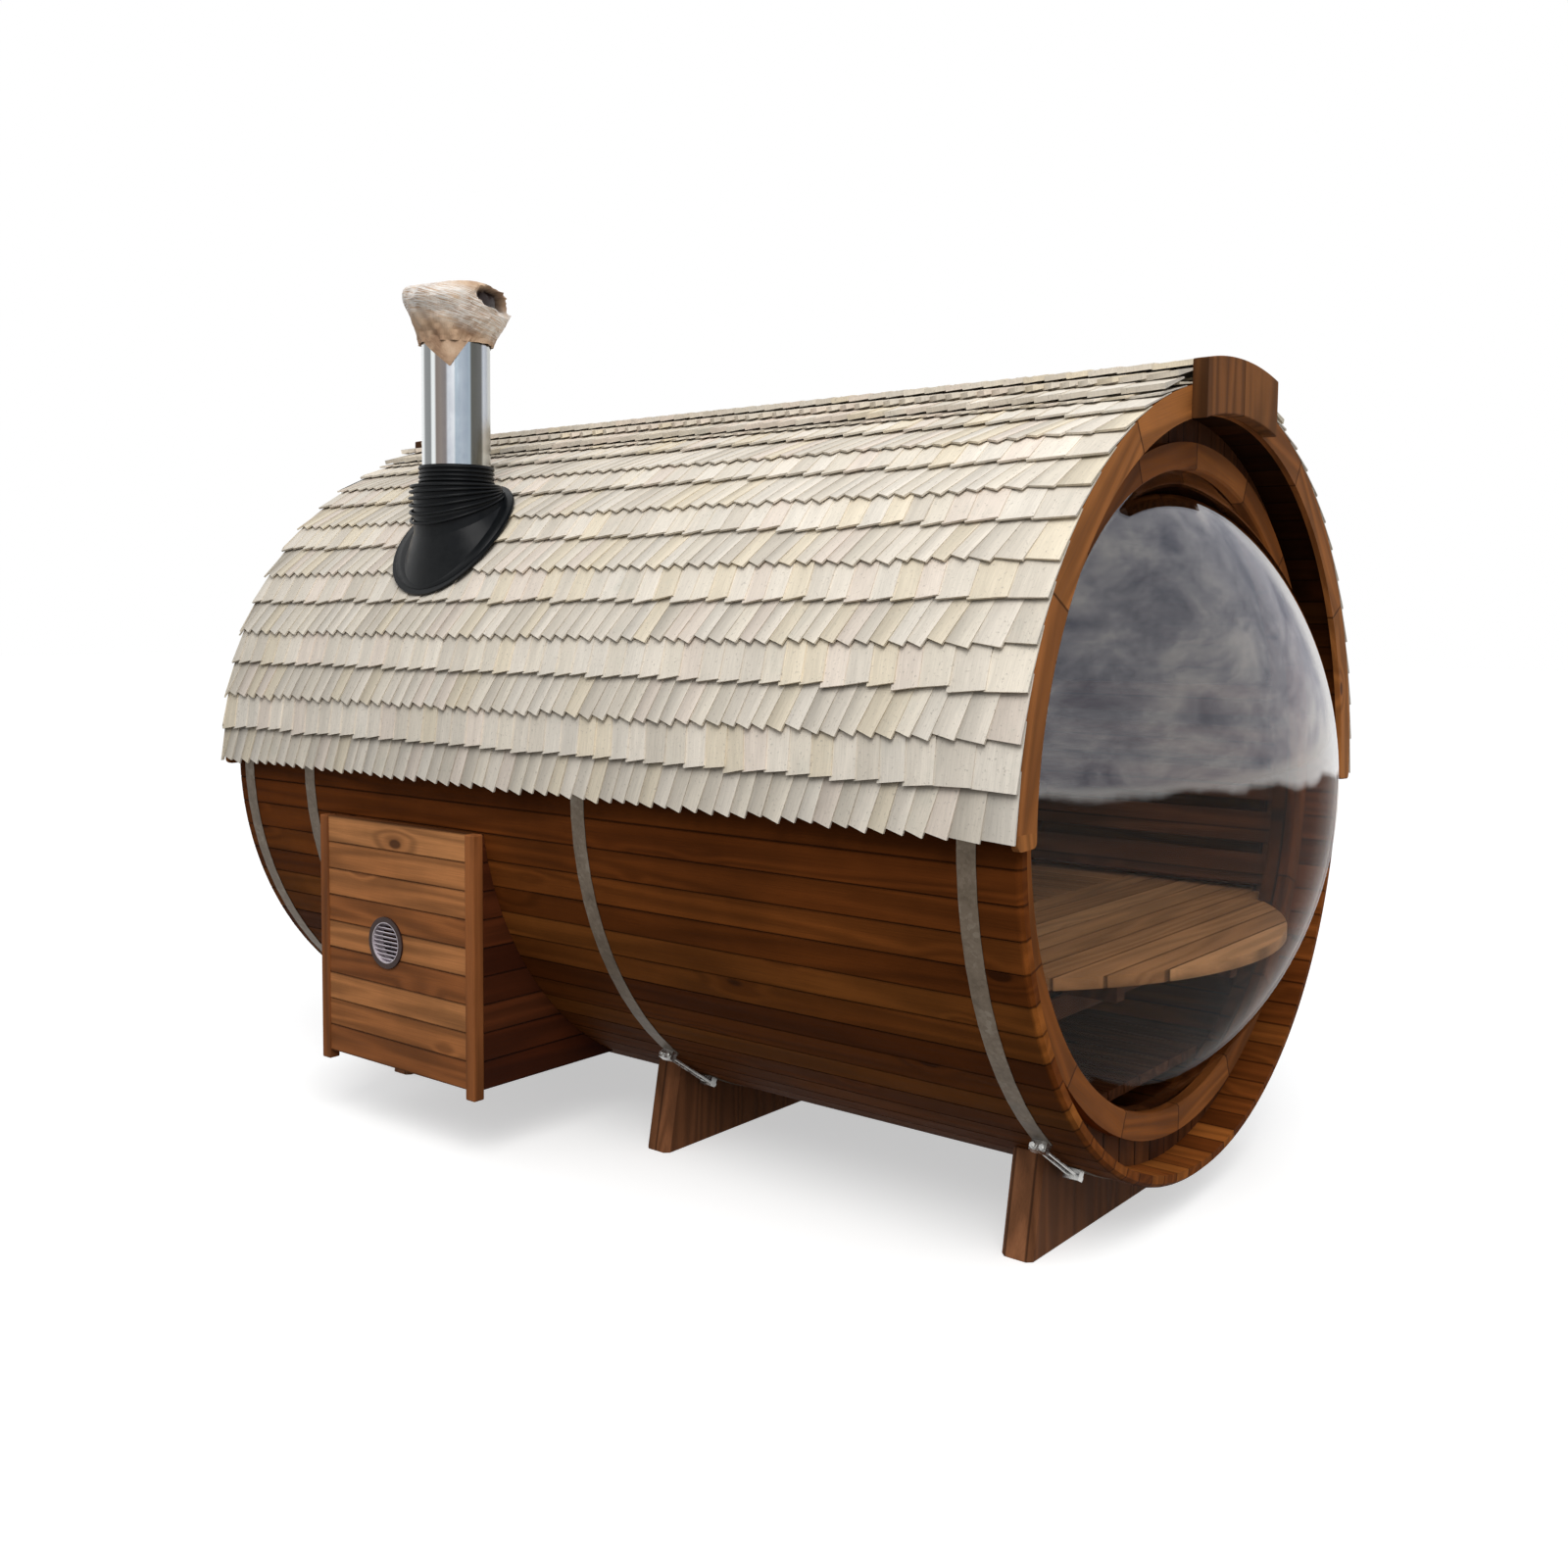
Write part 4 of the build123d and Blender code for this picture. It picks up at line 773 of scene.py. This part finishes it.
def leaning_board(front, high):
    """A narrow board whose tip leans forward, more so high on the roof; its butt is a saw tooth."""
    lean = math.radians(15 + 21 * high) * (1 - 0.8 * front) + rng.gauss(0, 0.022)
    pitch = LEANING_PITCH + 0.042 * front + rng.uniform(-0.004, 0.004)
    width = pitch * math.cos(lean) + LEANING_OVERLAP
    return Board(lean, pitch, width, LEANING_ROLL, rng.uniform(0.55, 0.85))


def flush_board(front):
    """A wider board whose tip leans back a little; the butts make one line."""
    lean = math.radians(-8) * (1 - front) + rng.gauss(0, 0.018)
    pitch = FLUSH_PITCH + 0.045 * front + rng.uniform(-0.005, 0.006)
    return Board(lean, pitch, pitch + FLUSH_OVERLAP, FLUSH_ROLL, rng.uniform(0.88, 0.98))


def course(shingles, arc, side, cut, leaning, high):
    """One course from front to back. The first boards are wider and stand straighter."""
    y = ROOF_FRONT_Y
    end = ROOF_REAR_Y + (LAST_LEANING if leaning else 0.0)
    number = 0
    while y < end:
        front = max(0.0, 1 - number / FRONT_BOARDS)
        board = leaning_board(front, high) if leaning else flush_board(front)
        middle = y + board.pitch / 2
        butt_arc = arc + rng.gauss(0, SETTLING)
        if from_flue(middle, butt_arc + cut.length / 2, side) > BOOT_CLEAR:
            shingles.lay(middle, butt_arc, side, board, cut)
        y += board.pitch
        number += 1


def roof_slopes(material):
    exposure = math.radians(90 - EAVE_ANGLE) * ROOF_RADIUS / COURSE_COUNT
    for side, name, node in SLOPES:
        shingles = Shingles()
        for number in range(COURSE_COUNT):
            arc = number * exposure + EAVE_ARC
            course(shingles, arc, side, SLOPE_CUT, number % 2 == 0, number / COURSE_COUNT)
        shingles.finish(name, material, node)


def roof_ridge(material):
    shingles = Shingles()
    for side in (LEFT, RIGHT):
        for number, (angle, height, length) in enumerate(RIDGE_ROWS):
            arc = math.radians(angle - EAVE_ANGLE) * ROOF_RADIUS
            cut = Cut(length, RIDGE_HEIGHT + height, RIDGE_FALL, RIDGE_THICK)
            course(shingles, arc, side, cut, number % 2 == 1, RIDGE_LEANING)
    shingles.finish("ridge_courses", material, "ridge_cap")


shingle_wood = shingle_material()
roof_slopes(shingle_wood)
roof_ridge(shingle_wood)


# Boot: an apron between its skirt and its flange, and the tight rings of its bellows. The folds
# tilt about a pivot beside the flue, which moves out and down by the degree.
BOOT_TOP = high_of("chimney_boot").z
RING_THICK = 0.0050
RING_TURNS = 72
RING_SIDES = 8
COLLAR_RINGS = 4
COLLAR_RADIUS = 0.1125
COLLAR_DROP = 0.007
COLLAR_PITCH = 0.0135
FOLD_TILTS = (1.0, 4.5, 8.5, 13.0, 17.5, 22.5)
FOLD_RADIUS = 0.133
FOLD_WIDENING = 0.019 / 30
STEEP_TILT = 9
UPPER_PROUD = 0.003
LOWER_PROUD = 0.0015
PIVOT_DROP = 0.059
PIVOT_OUT = 0.0003
PIVOT_DOWN = 0.0004
APRON_TURNS = 72
APRON_RADII = [0.13 + 0.022 * row for row in range(5)]
APRON_HEIGHT = 0.0236
APRON_THICK = 0.003


def add_ring(centre, across, radius, vertices, faces):
    """Adds a round ring to a mesh; it lies in the plane of Y and the direction across."""
    forward = Vector((0, 1, 0))
    normal = across.cross(forward)
    faces += quads(RING_TURNS, RING_SIDES, len(vertices), tube=True, flip=True)
    for turn in range(RING_TURNS):
        angle = math.tau * turn / RING_TURNS
        out = across * math.cos(angle) + forward * math.sin(angle)
        for side in range(RING_SIDES):
            bend = math.tau * side / RING_SIDES
            reach = radius + RING_THICK * math.cos(bend)
            vertices.append(centre + out * reach + normal * (RING_THICK * math.sin(bend)))


def boot_rings(material):
    vertices = []
    faces = []
    for number in range(COLLAR_RINGS):
        height = BOOT_TOP - COLLAR_DROP - number * COLLAR_PITCH
        add_ring(Vector((*FLUE, height)), Vector((1, 0, 0)), COLLAR_RADIUS, vertices, faces)
    for tilt in FOLD_TILTS:
        turn = math.radians(tilt)
        across = Vector((-math.cos(turn), 0, -math.sin(turn)))
        proud = UPPER_PROUD if tilt < STEEP_TILT else LOWER_PROUD
        radius = FOLD_RADIUS + FOLD_WIDENING * tilt + proud
        pivot_x = FLUE.x + FOLD_RADIUS + PIVOT_OUT * tilt
        pivot = Vector((pivot_x, FLUE.y, BOOT_TOP - PIVOT_DROP - PIVOT_DOWN * tilt))
        add_ring(pivot + across * radius, across, radius, vertices, faces)
    mesh_object("boot_rings", vertices, faces, material, smooth=True)


def boot_apron(material):
    vertices = []
    for turn in range(APRON_TURNS):
        angle = math.tau * turn / APRON_TURNS
        for radius in APRON_RADII:
            y = FLUE.y + radius * math.cos(angle)
            arc = BOOT_ARC + radius * math.sin(angle)
            vertices.append(roof_point(y, arc, APRON_HEIGHT, LEFT))
    faces = quads(APRON_TURNS, len(APRON_RADII))
    piece = mesh_object("boot_apron", vertices, faces, material, smooth=True)
    thicken(piece, APRON_THICK, 0.0)


boot_rubber = rubber()
dress(boot_rubber, "chimney_boot")
boot_rings(boot_rubber)
boot_apron(boot_rubber)


# Bubble window
BUBBLE_RADIUS = 1.170
BUBBLE_SHEET = 0.006
BUBBLE_STEPS = 40
BUBBLE_TURNS = 160
SMOKE = (0.86, 0.825, 0.79)
MIRROR_FROM = AXIS_HEIGHT + 0.09
MIRROR_FULL = AXIS_HEIGHT + 0.12


def acrylic():
    """Smoked clear sheet: lets light straight through, mirrors more towards its edges, and has a
    painted reflection: it mirrors more in its upper half."""
    g = Material("acrylic")
    clear = g.node("BsdfTransparent", {"Color": SMOKE})
    mirror = g.node("BsdfGlossy", {"Color": (1, 1, 1), "Roughness": 0.012})
    facing = g.node("LayerWeight", {"Blend": 0.5}).outputs["Facing"]
    # Painted reflection: below MIRROR_FROM the mirror share drops to a twentieth, with a noisy
    # border
    level = g.add(g.place()[Z], g.times(g.noise(g.where(), 5.0, 4.0), 0.10))
    upper = g.span(g.step(level, MIRROR_FROM, MIRROR_FULL), 0, 1, 0.05, 1.0)
    share = g.times(g.add(g.times(g.maths("POWER", facing, 3.5), 0.80), 0.12), upper)
    share = g.maths("MAXIMUM", share, g.times(g.maths("POWER", facing, 9.0), 0.45))
    g.surface(g.node("MixShader", {0: share, 1: clear.outputs[0], 2: mirror.outputs[0]}))
    return g.material


def bubble_profile():
    """Radius and Y round the sheet's section: outside from the apex, flange, inside back to it."""
    low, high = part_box("bubble_window")
    centre_y = low.y + BUBBLE_RADIUS
    flange_y = high.y - BUBBLE_SHEET
    end = math.acos((centre_y - flange_y) / BUBBLE_RADIUS)
    outside = []
    inside = []
    for step in range(BUBBLE_STEPS + 1):
        angle = end * step / BUBBLE_STEPS
        for line, radius in ((outside, BUBBLE_RADIUS), (inside, BUBBLE_RADIUS - BUBBLE_SHEET)):
            line.append((radius * math.sin(angle), centre_y - radius * math.cos(angle)))
    return outside + [(high.x, flange_y), (high.x, high.y)] + inside[::-1]


def bubble_dome(material):
    """The sheet's section turned about the barrel's axis."""
    profile = bubble_profile()
    vertices = []
    for turn in range(BUBBLE_TURNS):
        angle = math.tau * turn / BUBBLE_TURNS
        for radius, y in profile:
            vertices.append((radius * math.cos(angle), y, AXIS_HEIGHT + radius * math.sin(angle)))
    faces = quads(BUBBLE_TURNS, len(profile), tube=True, flip=True)
    piece = mesh_object("bubble_dome", vertices, faces, material, smooth=True)
    merge_points(piece)
    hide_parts("bubble_window")


bubble_dome(acrylic())


# Kraft paper and stretch film tied over the flue. A level goes from 0 at the paper's lower edge
# to 1 at its crown.
WRAP_BOTTOM = FLUE_TOP - 0.115
WRAP_HEIGHT = 0.173
WRAP_REACH = 0.1715
WRAP_TURNS = 120
# Levels and radii of the paper: up its outside, then over the crown to the middle
WRAP_OUTSIDE = [
    (0.0, 0.111), (0.08, 0.114), (0.18, 0.121), (0.28, 0.131), (0.38, 0.141), (0.48, 0.150),
    (0.57, 0.157), (0.65, 0.163), (0.72, 0.166), (0.79, 0.166), (0.86, 0.162), (0.92, 0.155),
    (0.97, 0.145),
]
WRAP_CROWN = [(1.0, 0.128), (0.985, 0.10), (0.97, 0.06), (0.965, 0.0)]
HOLLOW_ANGLE = math.radians(-64)
HOLLOW_LEVEL = 0.77
HOLLOW_SIZE = (0.80, 0.22)
HOLLOW_EDGE = 0.22
HOLLOW_DEPTH = 0.052
BULGE = 0.012
LIFT = 0.010
LUMPS = 0.009
CREASES = 0.003
GATHERS = 0.016
GATHER_COUNT = 19
FILM_SLANT = 0.22
FILM_TURN = -0.8
FILM_LEVEL = FLUE_TOP - 0.012 + FILM_SLANT * (FLUE.x + FILM_TURN * FLUE.y)
FILM_EDGES = (0.075, 0.030)
FLAP_ANGLE = math.radians(-140)
FLAP_FROM = math.radians(-206)
FLAP_TO = math.radians(-100)
FLAP_TIP = 0.02
FLAP_START = 0.026
FLAP_DROP = 0.100
FLAP_RADIUS = 0.1075
FLAP_FLARE = 0.004
FLAP_RIPPLE = 0.0025
FLAP_ROWS = 8
FLAP_COLUMNS = 14
PAPER_THICK = 0.0015


def paper():
    """Creased kraft paper, a slanting band of stretched film round its middle, painted shade in the
    fold.
    """
    g = Material("wrap_paper")
    x, y, z = g.place()
    where = g.where()
    crease = g.noise(where, 15.0, 3.0, 0.5)
    fleck = g.noise(where, 260.0, 2.0)
    dark, plain, pale = (0.36, 0.22, 0.135), (0.56, 0.38, 0.25), (0.70, 0.52, 0.37)
    colour = g.ramp(crease, [(0.35, dark), (0.5, plain), (0.65, pale)])
    colour = g.mix(g.times(g.step(fleck, 0.55, 0.7), 0.25), colour, (0.22, 0.14, 0.08))
    level = g.add(z, g.times(g.add(x, g.times(y, FILM_TURN)), FILM_SLANT))
    stretched = g.vector(g.times(x, 3.0), g.times(y, 3.0), g.times(level, 75.0))
    strands = g.noise(stretched, 7.0, 3.0, 0.6)
    band = g.step(g.maths("ABSOLUTE", g.minus(level, FILM_LEVEL)), *FILM_EDGES)
    film = g.times(band, g.step(strands, 0.40, 0.56))
    colour = g.mix(g.times(film, 0.9), colour, (0.90, 0.88, 0.85))
    # Painted shade: the inside of the open fold is darkened nearly to black
    hollow = g.node("Attribute", attribute_name="hollow").outputs["Fac"]
    colour = g.mix(hollow, colour, (0.022, 0.009, 0.006))
    g.set(Base_Color=colour, Roughness=g.span(film, 0, 1, 0.62, 0.25), Specular_IOR_Level=0.4)
    g.bump(g.add(crease, g.times(strands, g.times(band, 0.35))), 0.004, 0.5)
    return g.material


def crumple(angle, level):
    """How far the paper stands out: soft lumps, sharp creases and gathers at the neck."""
    place = Vector((math.cos(angle) * 1.6, math.sin(angle) * 1.6, level * 2.0))
    lumps = noise.noise(place * 1.3 + Vector((SEED % 97, 0, 0)))
    sharp = 1 - 3 * abs(noise.noise(place * 2.7 + Vector((0, 31, 0))))
    gather = abs((angle * GATHER_COUNT / math.tau + 2.0 * level) % 1.0 - 0.5) - 0.25
    return LUMPS * lumps + CREASES * sharp + GATHERS * gather * max(0.0, 1 - level * 1.6)


def hollow_at(angle, level):
    """How deep a place lies in the open fold, from 0 outside it to 1 well inside; it also sets the
    painted shade.
    """
    turn = abs((angle - HOLLOW_ANGLE + math.pi) % math.tau - math.pi)
    away = math.hypot(turn / HOLLOW_SIZE[0], (level - HOLLOW_LEVEL) / HOLLOW_SIZE[1])
    return min(1.0, max(0.0, (1.0 - away) / HOLLOW_EDGE))


def wrap_point(angle, level, radius, hollow):
    bulge = BULGE * math.cos(angle - HOLLOW_ANGLE) * math.sin(math.pi * min(level, 1.0))
    lift = LIFT * noise.noise(Vector((math.cos(angle), math.sin(angle), 5.0)) * 1.7) * level
    height = min(WRAP_BOTTOM + level * WRAP_HEIGHT + lift, WRAP_BOTTOM + WRAP_HEIGHT)
    if radius > 0:
        spread = crumple(angle, level) if radius > 0.05 else 0.0
        radius = min(radius + spread + bulge, WRAP_REACH) - HOLLOW_DEPTH * hollow
    return by_flue(radius, angle, height)


def paper_wrap(material):
    """Paper and film gathered over the top of the flue, with one open fold darkened by painted
    shade.
    """
    vertices = []
    painted_hollow_shade = []
    for turn in range(WRAP_TURNS):
        angle = math.tau * turn / WRAP_TURNS
        for index, (level, radius) in enumerate(WRAP_OUTSIDE + WRAP_CROWN):
            hollow = hollow_at(angle, level) if index < len(WRAP_OUTSIDE) else 0.0
            vertices.append(wrap_point(angle, level, radius, hollow))
            painted_hollow_shade.append(hollow)
    faces = quads(WRAP_TURNS, len(WRAP_OUTSIDE + WRAP_CROWN))
    piece = mesh_object("paper_wrap", vertices, faces, material)
    # The hollow attribute carries the painted shade inside the fold
    shade = piece.data.attributes.new("hollow", "FLOAT", "POINT")
    shade.data.foreach_set("value", painted_hollow_shade)
    merge_points(piece)
    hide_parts("chimney_wrap")


def paper_flap(material):
    """Corner of the paper hanging down the front of the flue."""
    vertices = []
    for row in range(FLAP_ROWS + 1):
        share = row / FLAP_ROWS
        first = FLAP_FROM * (1 - share) + (FLAP_ANGLE - FLAP_TIP) * share
        last = FLAP_TO * (1 - share) + (FLAP_ANGLE + FLAP_TIP) * share
        height = WRAP_BOTTOM + FLAP_START - FLAP_DROP * share
        for column in range(FLAP_COLUMNS + 1):
            angle = first + (last - first) * column / FLAP_COLUMNS
            ripple = FLAP_RIPPLE * abs(noise.noise(Vector((angle * 4, share * 3, 2))))
            radius = FLAP_RADIUS + FLAP_FLARE * (1 - share) + ripple
            vertices.append(by_flue(radius, angle, height))
    faces = quads(FLAP_ROWS + 1, FLAP_COLUMNS + 1, loop=False)
    piece = mesh_object("paper_flap", vertices, faces, material)
    thicken(piece, PAPER_THICK, 1.0)


wrap_paper = paper()
paper_wrap(wrap_paper)
paper_flap(wrap_paper)


# Stage, light and camera. The camera was solved from the barrel's two end circles in the photo:
# its place in barrel radii from the middle of the front rim, its turns in radians, and its focal
# length and middle in pixels of the photo.
FLOOR_REACH = 60.0
FLOOR_BOUNCE = (0.09, 0.08, 0.07)
FLOOR_SHOWN = (0.72, 0.72, 0.72)
FLOOR_GLOW = 0.52
LAMP_PLACE = (-5.0, -3.5, 7.0)
LAMP_AIM = (0, 0, 1.2)
LAMP_SIZE = 5.0
LAMP_POWER = 400.0
PHOTO_SIZE = 1600.0
CAMERA_PLACE = (-3.763, -1.529, 0.429)
CAMERA_YAW = 0.893
CAMERA_PITCH = -0.071
CAMERA_ROLL = 0.008
FOCAL_PIXELS = 1550.472
MIDDLE_X_PIXELS = 773.482
MIDDLE_Y_PIXELS = 746.222


def stage_floor():
    """Pale floor: bright to the camera and in reflections, darker as a bounce, keeps shadows."""
    g = Material("floor")
    bounce = g.node("BsdfDiffuse", {"Color": FLOOR_BOUNCE})
    shown = g.node("BsdfDiffuse", {"Color": FLOOR_SHOWN})
    glow = g.node("Emission", {"Color": (1, 1, 1), "Strength": FLOOR_GLOW})
    both = g.node("AddShader", {0: shown.outputs[0], 1: glow.outputs[0]})
    g.surface(g.node("MixShader", {0: g.seen(), 1: bounce.outputs[0], 2: both.outputs[0]}))
    corners = [(-1, -1), (1, -1), (1, 1), (-1, 1)]
    mesh = bpy.data.meshes.new("floor")
    vertices = [(x * FLOOR_REACH, y * FLOOR_REACH, 0) for x, y in corners]
    mesh.from_pydata(vertices, [], [(0, 1, 2, 3)])
    mesh.materials.append(g.material)
    floor = bpy.data.objects.new("floor", mesh)
    bpy.context.scene.collection.objects.link(floor)


def sky():
    """White in front of the camera, soft cloud behind it; as light, overcast and brightest above."""
    world = bpy.data.worlds.new("overcast")
    bpy.context.scene.world = world
    world.use_nodes = True
    g = Graph(world.node_tree)
    g.tree.nodes.clear()
    direction = g.node("TexCoord").outputs["Generated"]
    y, z = g.split(direction)[1:]
    billows = g.noise(g.scaled(direction, 1.0, 1.0, 2.2), 2.6, 8.0, 0.66, 0.4)
    slate, grey, white = (0.36, 0.38, 0.46), (0.66, 0.67, 0.74), (1.0, 0.99, 1.0)
    cloud = g.ramp(billows, [(0.34, slate), (0.50, grey), (0.64, white)])
    behind = g.times(g.step(y, 0.10, -0.12), g.step(z, -0.01, 0.03))
    shown = g.mix(behind, (1.0, 1.0, 1.0), cloud)
    overcast = g.shaded((0.97, 0.985, 1.0), g.span(z, -0.05, 0.9, 0.32, 0.88))
    background = g.node("Background", {"Color": g.mix(g.seen(), overcast, shown), "Strength": 1.0})
    output = g.node("OutputWorld")
    g.put(output.inputs["Surface"], background.outputs[0])


def soft_lamp():
    lamp = bpy.data.lights.new("key", "AREA")
    lamp.shape = "RECTANGLE"
    lamp.size = LAMP_SIZE
    lamp.size_y = LAMP_SIZE
    lamp.energy = LAMP_POWER
    lamp.color = (1.0, 0.98, 0.95)
    holder = bpy.data.objects.new("key", lamp)
    holder.location = LAMP_PLACE
    direction = Vector(LAMP_AIM) - Vector(LAMP_PLACE)
    holder.rotation_euler = direction.to_track_quat("-Z", "Y").to_euler()
    bpy.context.scene.collection.objects.link(holder)


def photo_camera():
    level = Vector((math.cos(CAMERA_YAW), -math.sin(CAMERA_YAW), 0))
    ahead = Vector((math.sin(CAMERA_YAW), math.cos(CAMERA_YAW), 0))
    forward = ahead * math.cos(CAMERA_PITCH) + Vector((0, 0, math.sin(CAMERA_PITCH)))
    upward = level.cross(forward)
    right = level * math.cos(CAMERA_ROLL) + upward * math.sin(CAMERA_ROLL)
    up = upward * math.cos(CAMERA_ROLL) - level * math.sin(CAMERA_ROLL)
    place = Vector(CAMERA_PLACE) * BARREL_RADIUS + Vector((0, RIM_Y, AXIS_HEIGHT))
    data = bpy.data.cameras.new("camera")
    data.sensor_width = 36.0
    data.lens = FOCAL_PIXELS * data.sensor_width / PHOTO_SIZE
    data.shift_x = (PHOTO_SIZE / 2 - MIDDLE_X_PIXELS) / PHOTO_SIZE
    data.shift_y = (MIDDLE_Y_PIXELS - PHOTO_SIZE / 2) / PHOTO_SIZE
    camera = bpy.data.objects.new("camera", data)
    turned = Matrix((right, up, -forward)).transposed().to_4x4()
    camera.matrix_world = Matrix.Translation(place) @ turned
    bpy.context.scene.collection.objects.link(camera)
    bpy.context.scene.camera = camera


stage_floor()
sky()
soft_lamp()
photo_camera()
bpy.context.scene.view_settings.view_transform = "Standard"
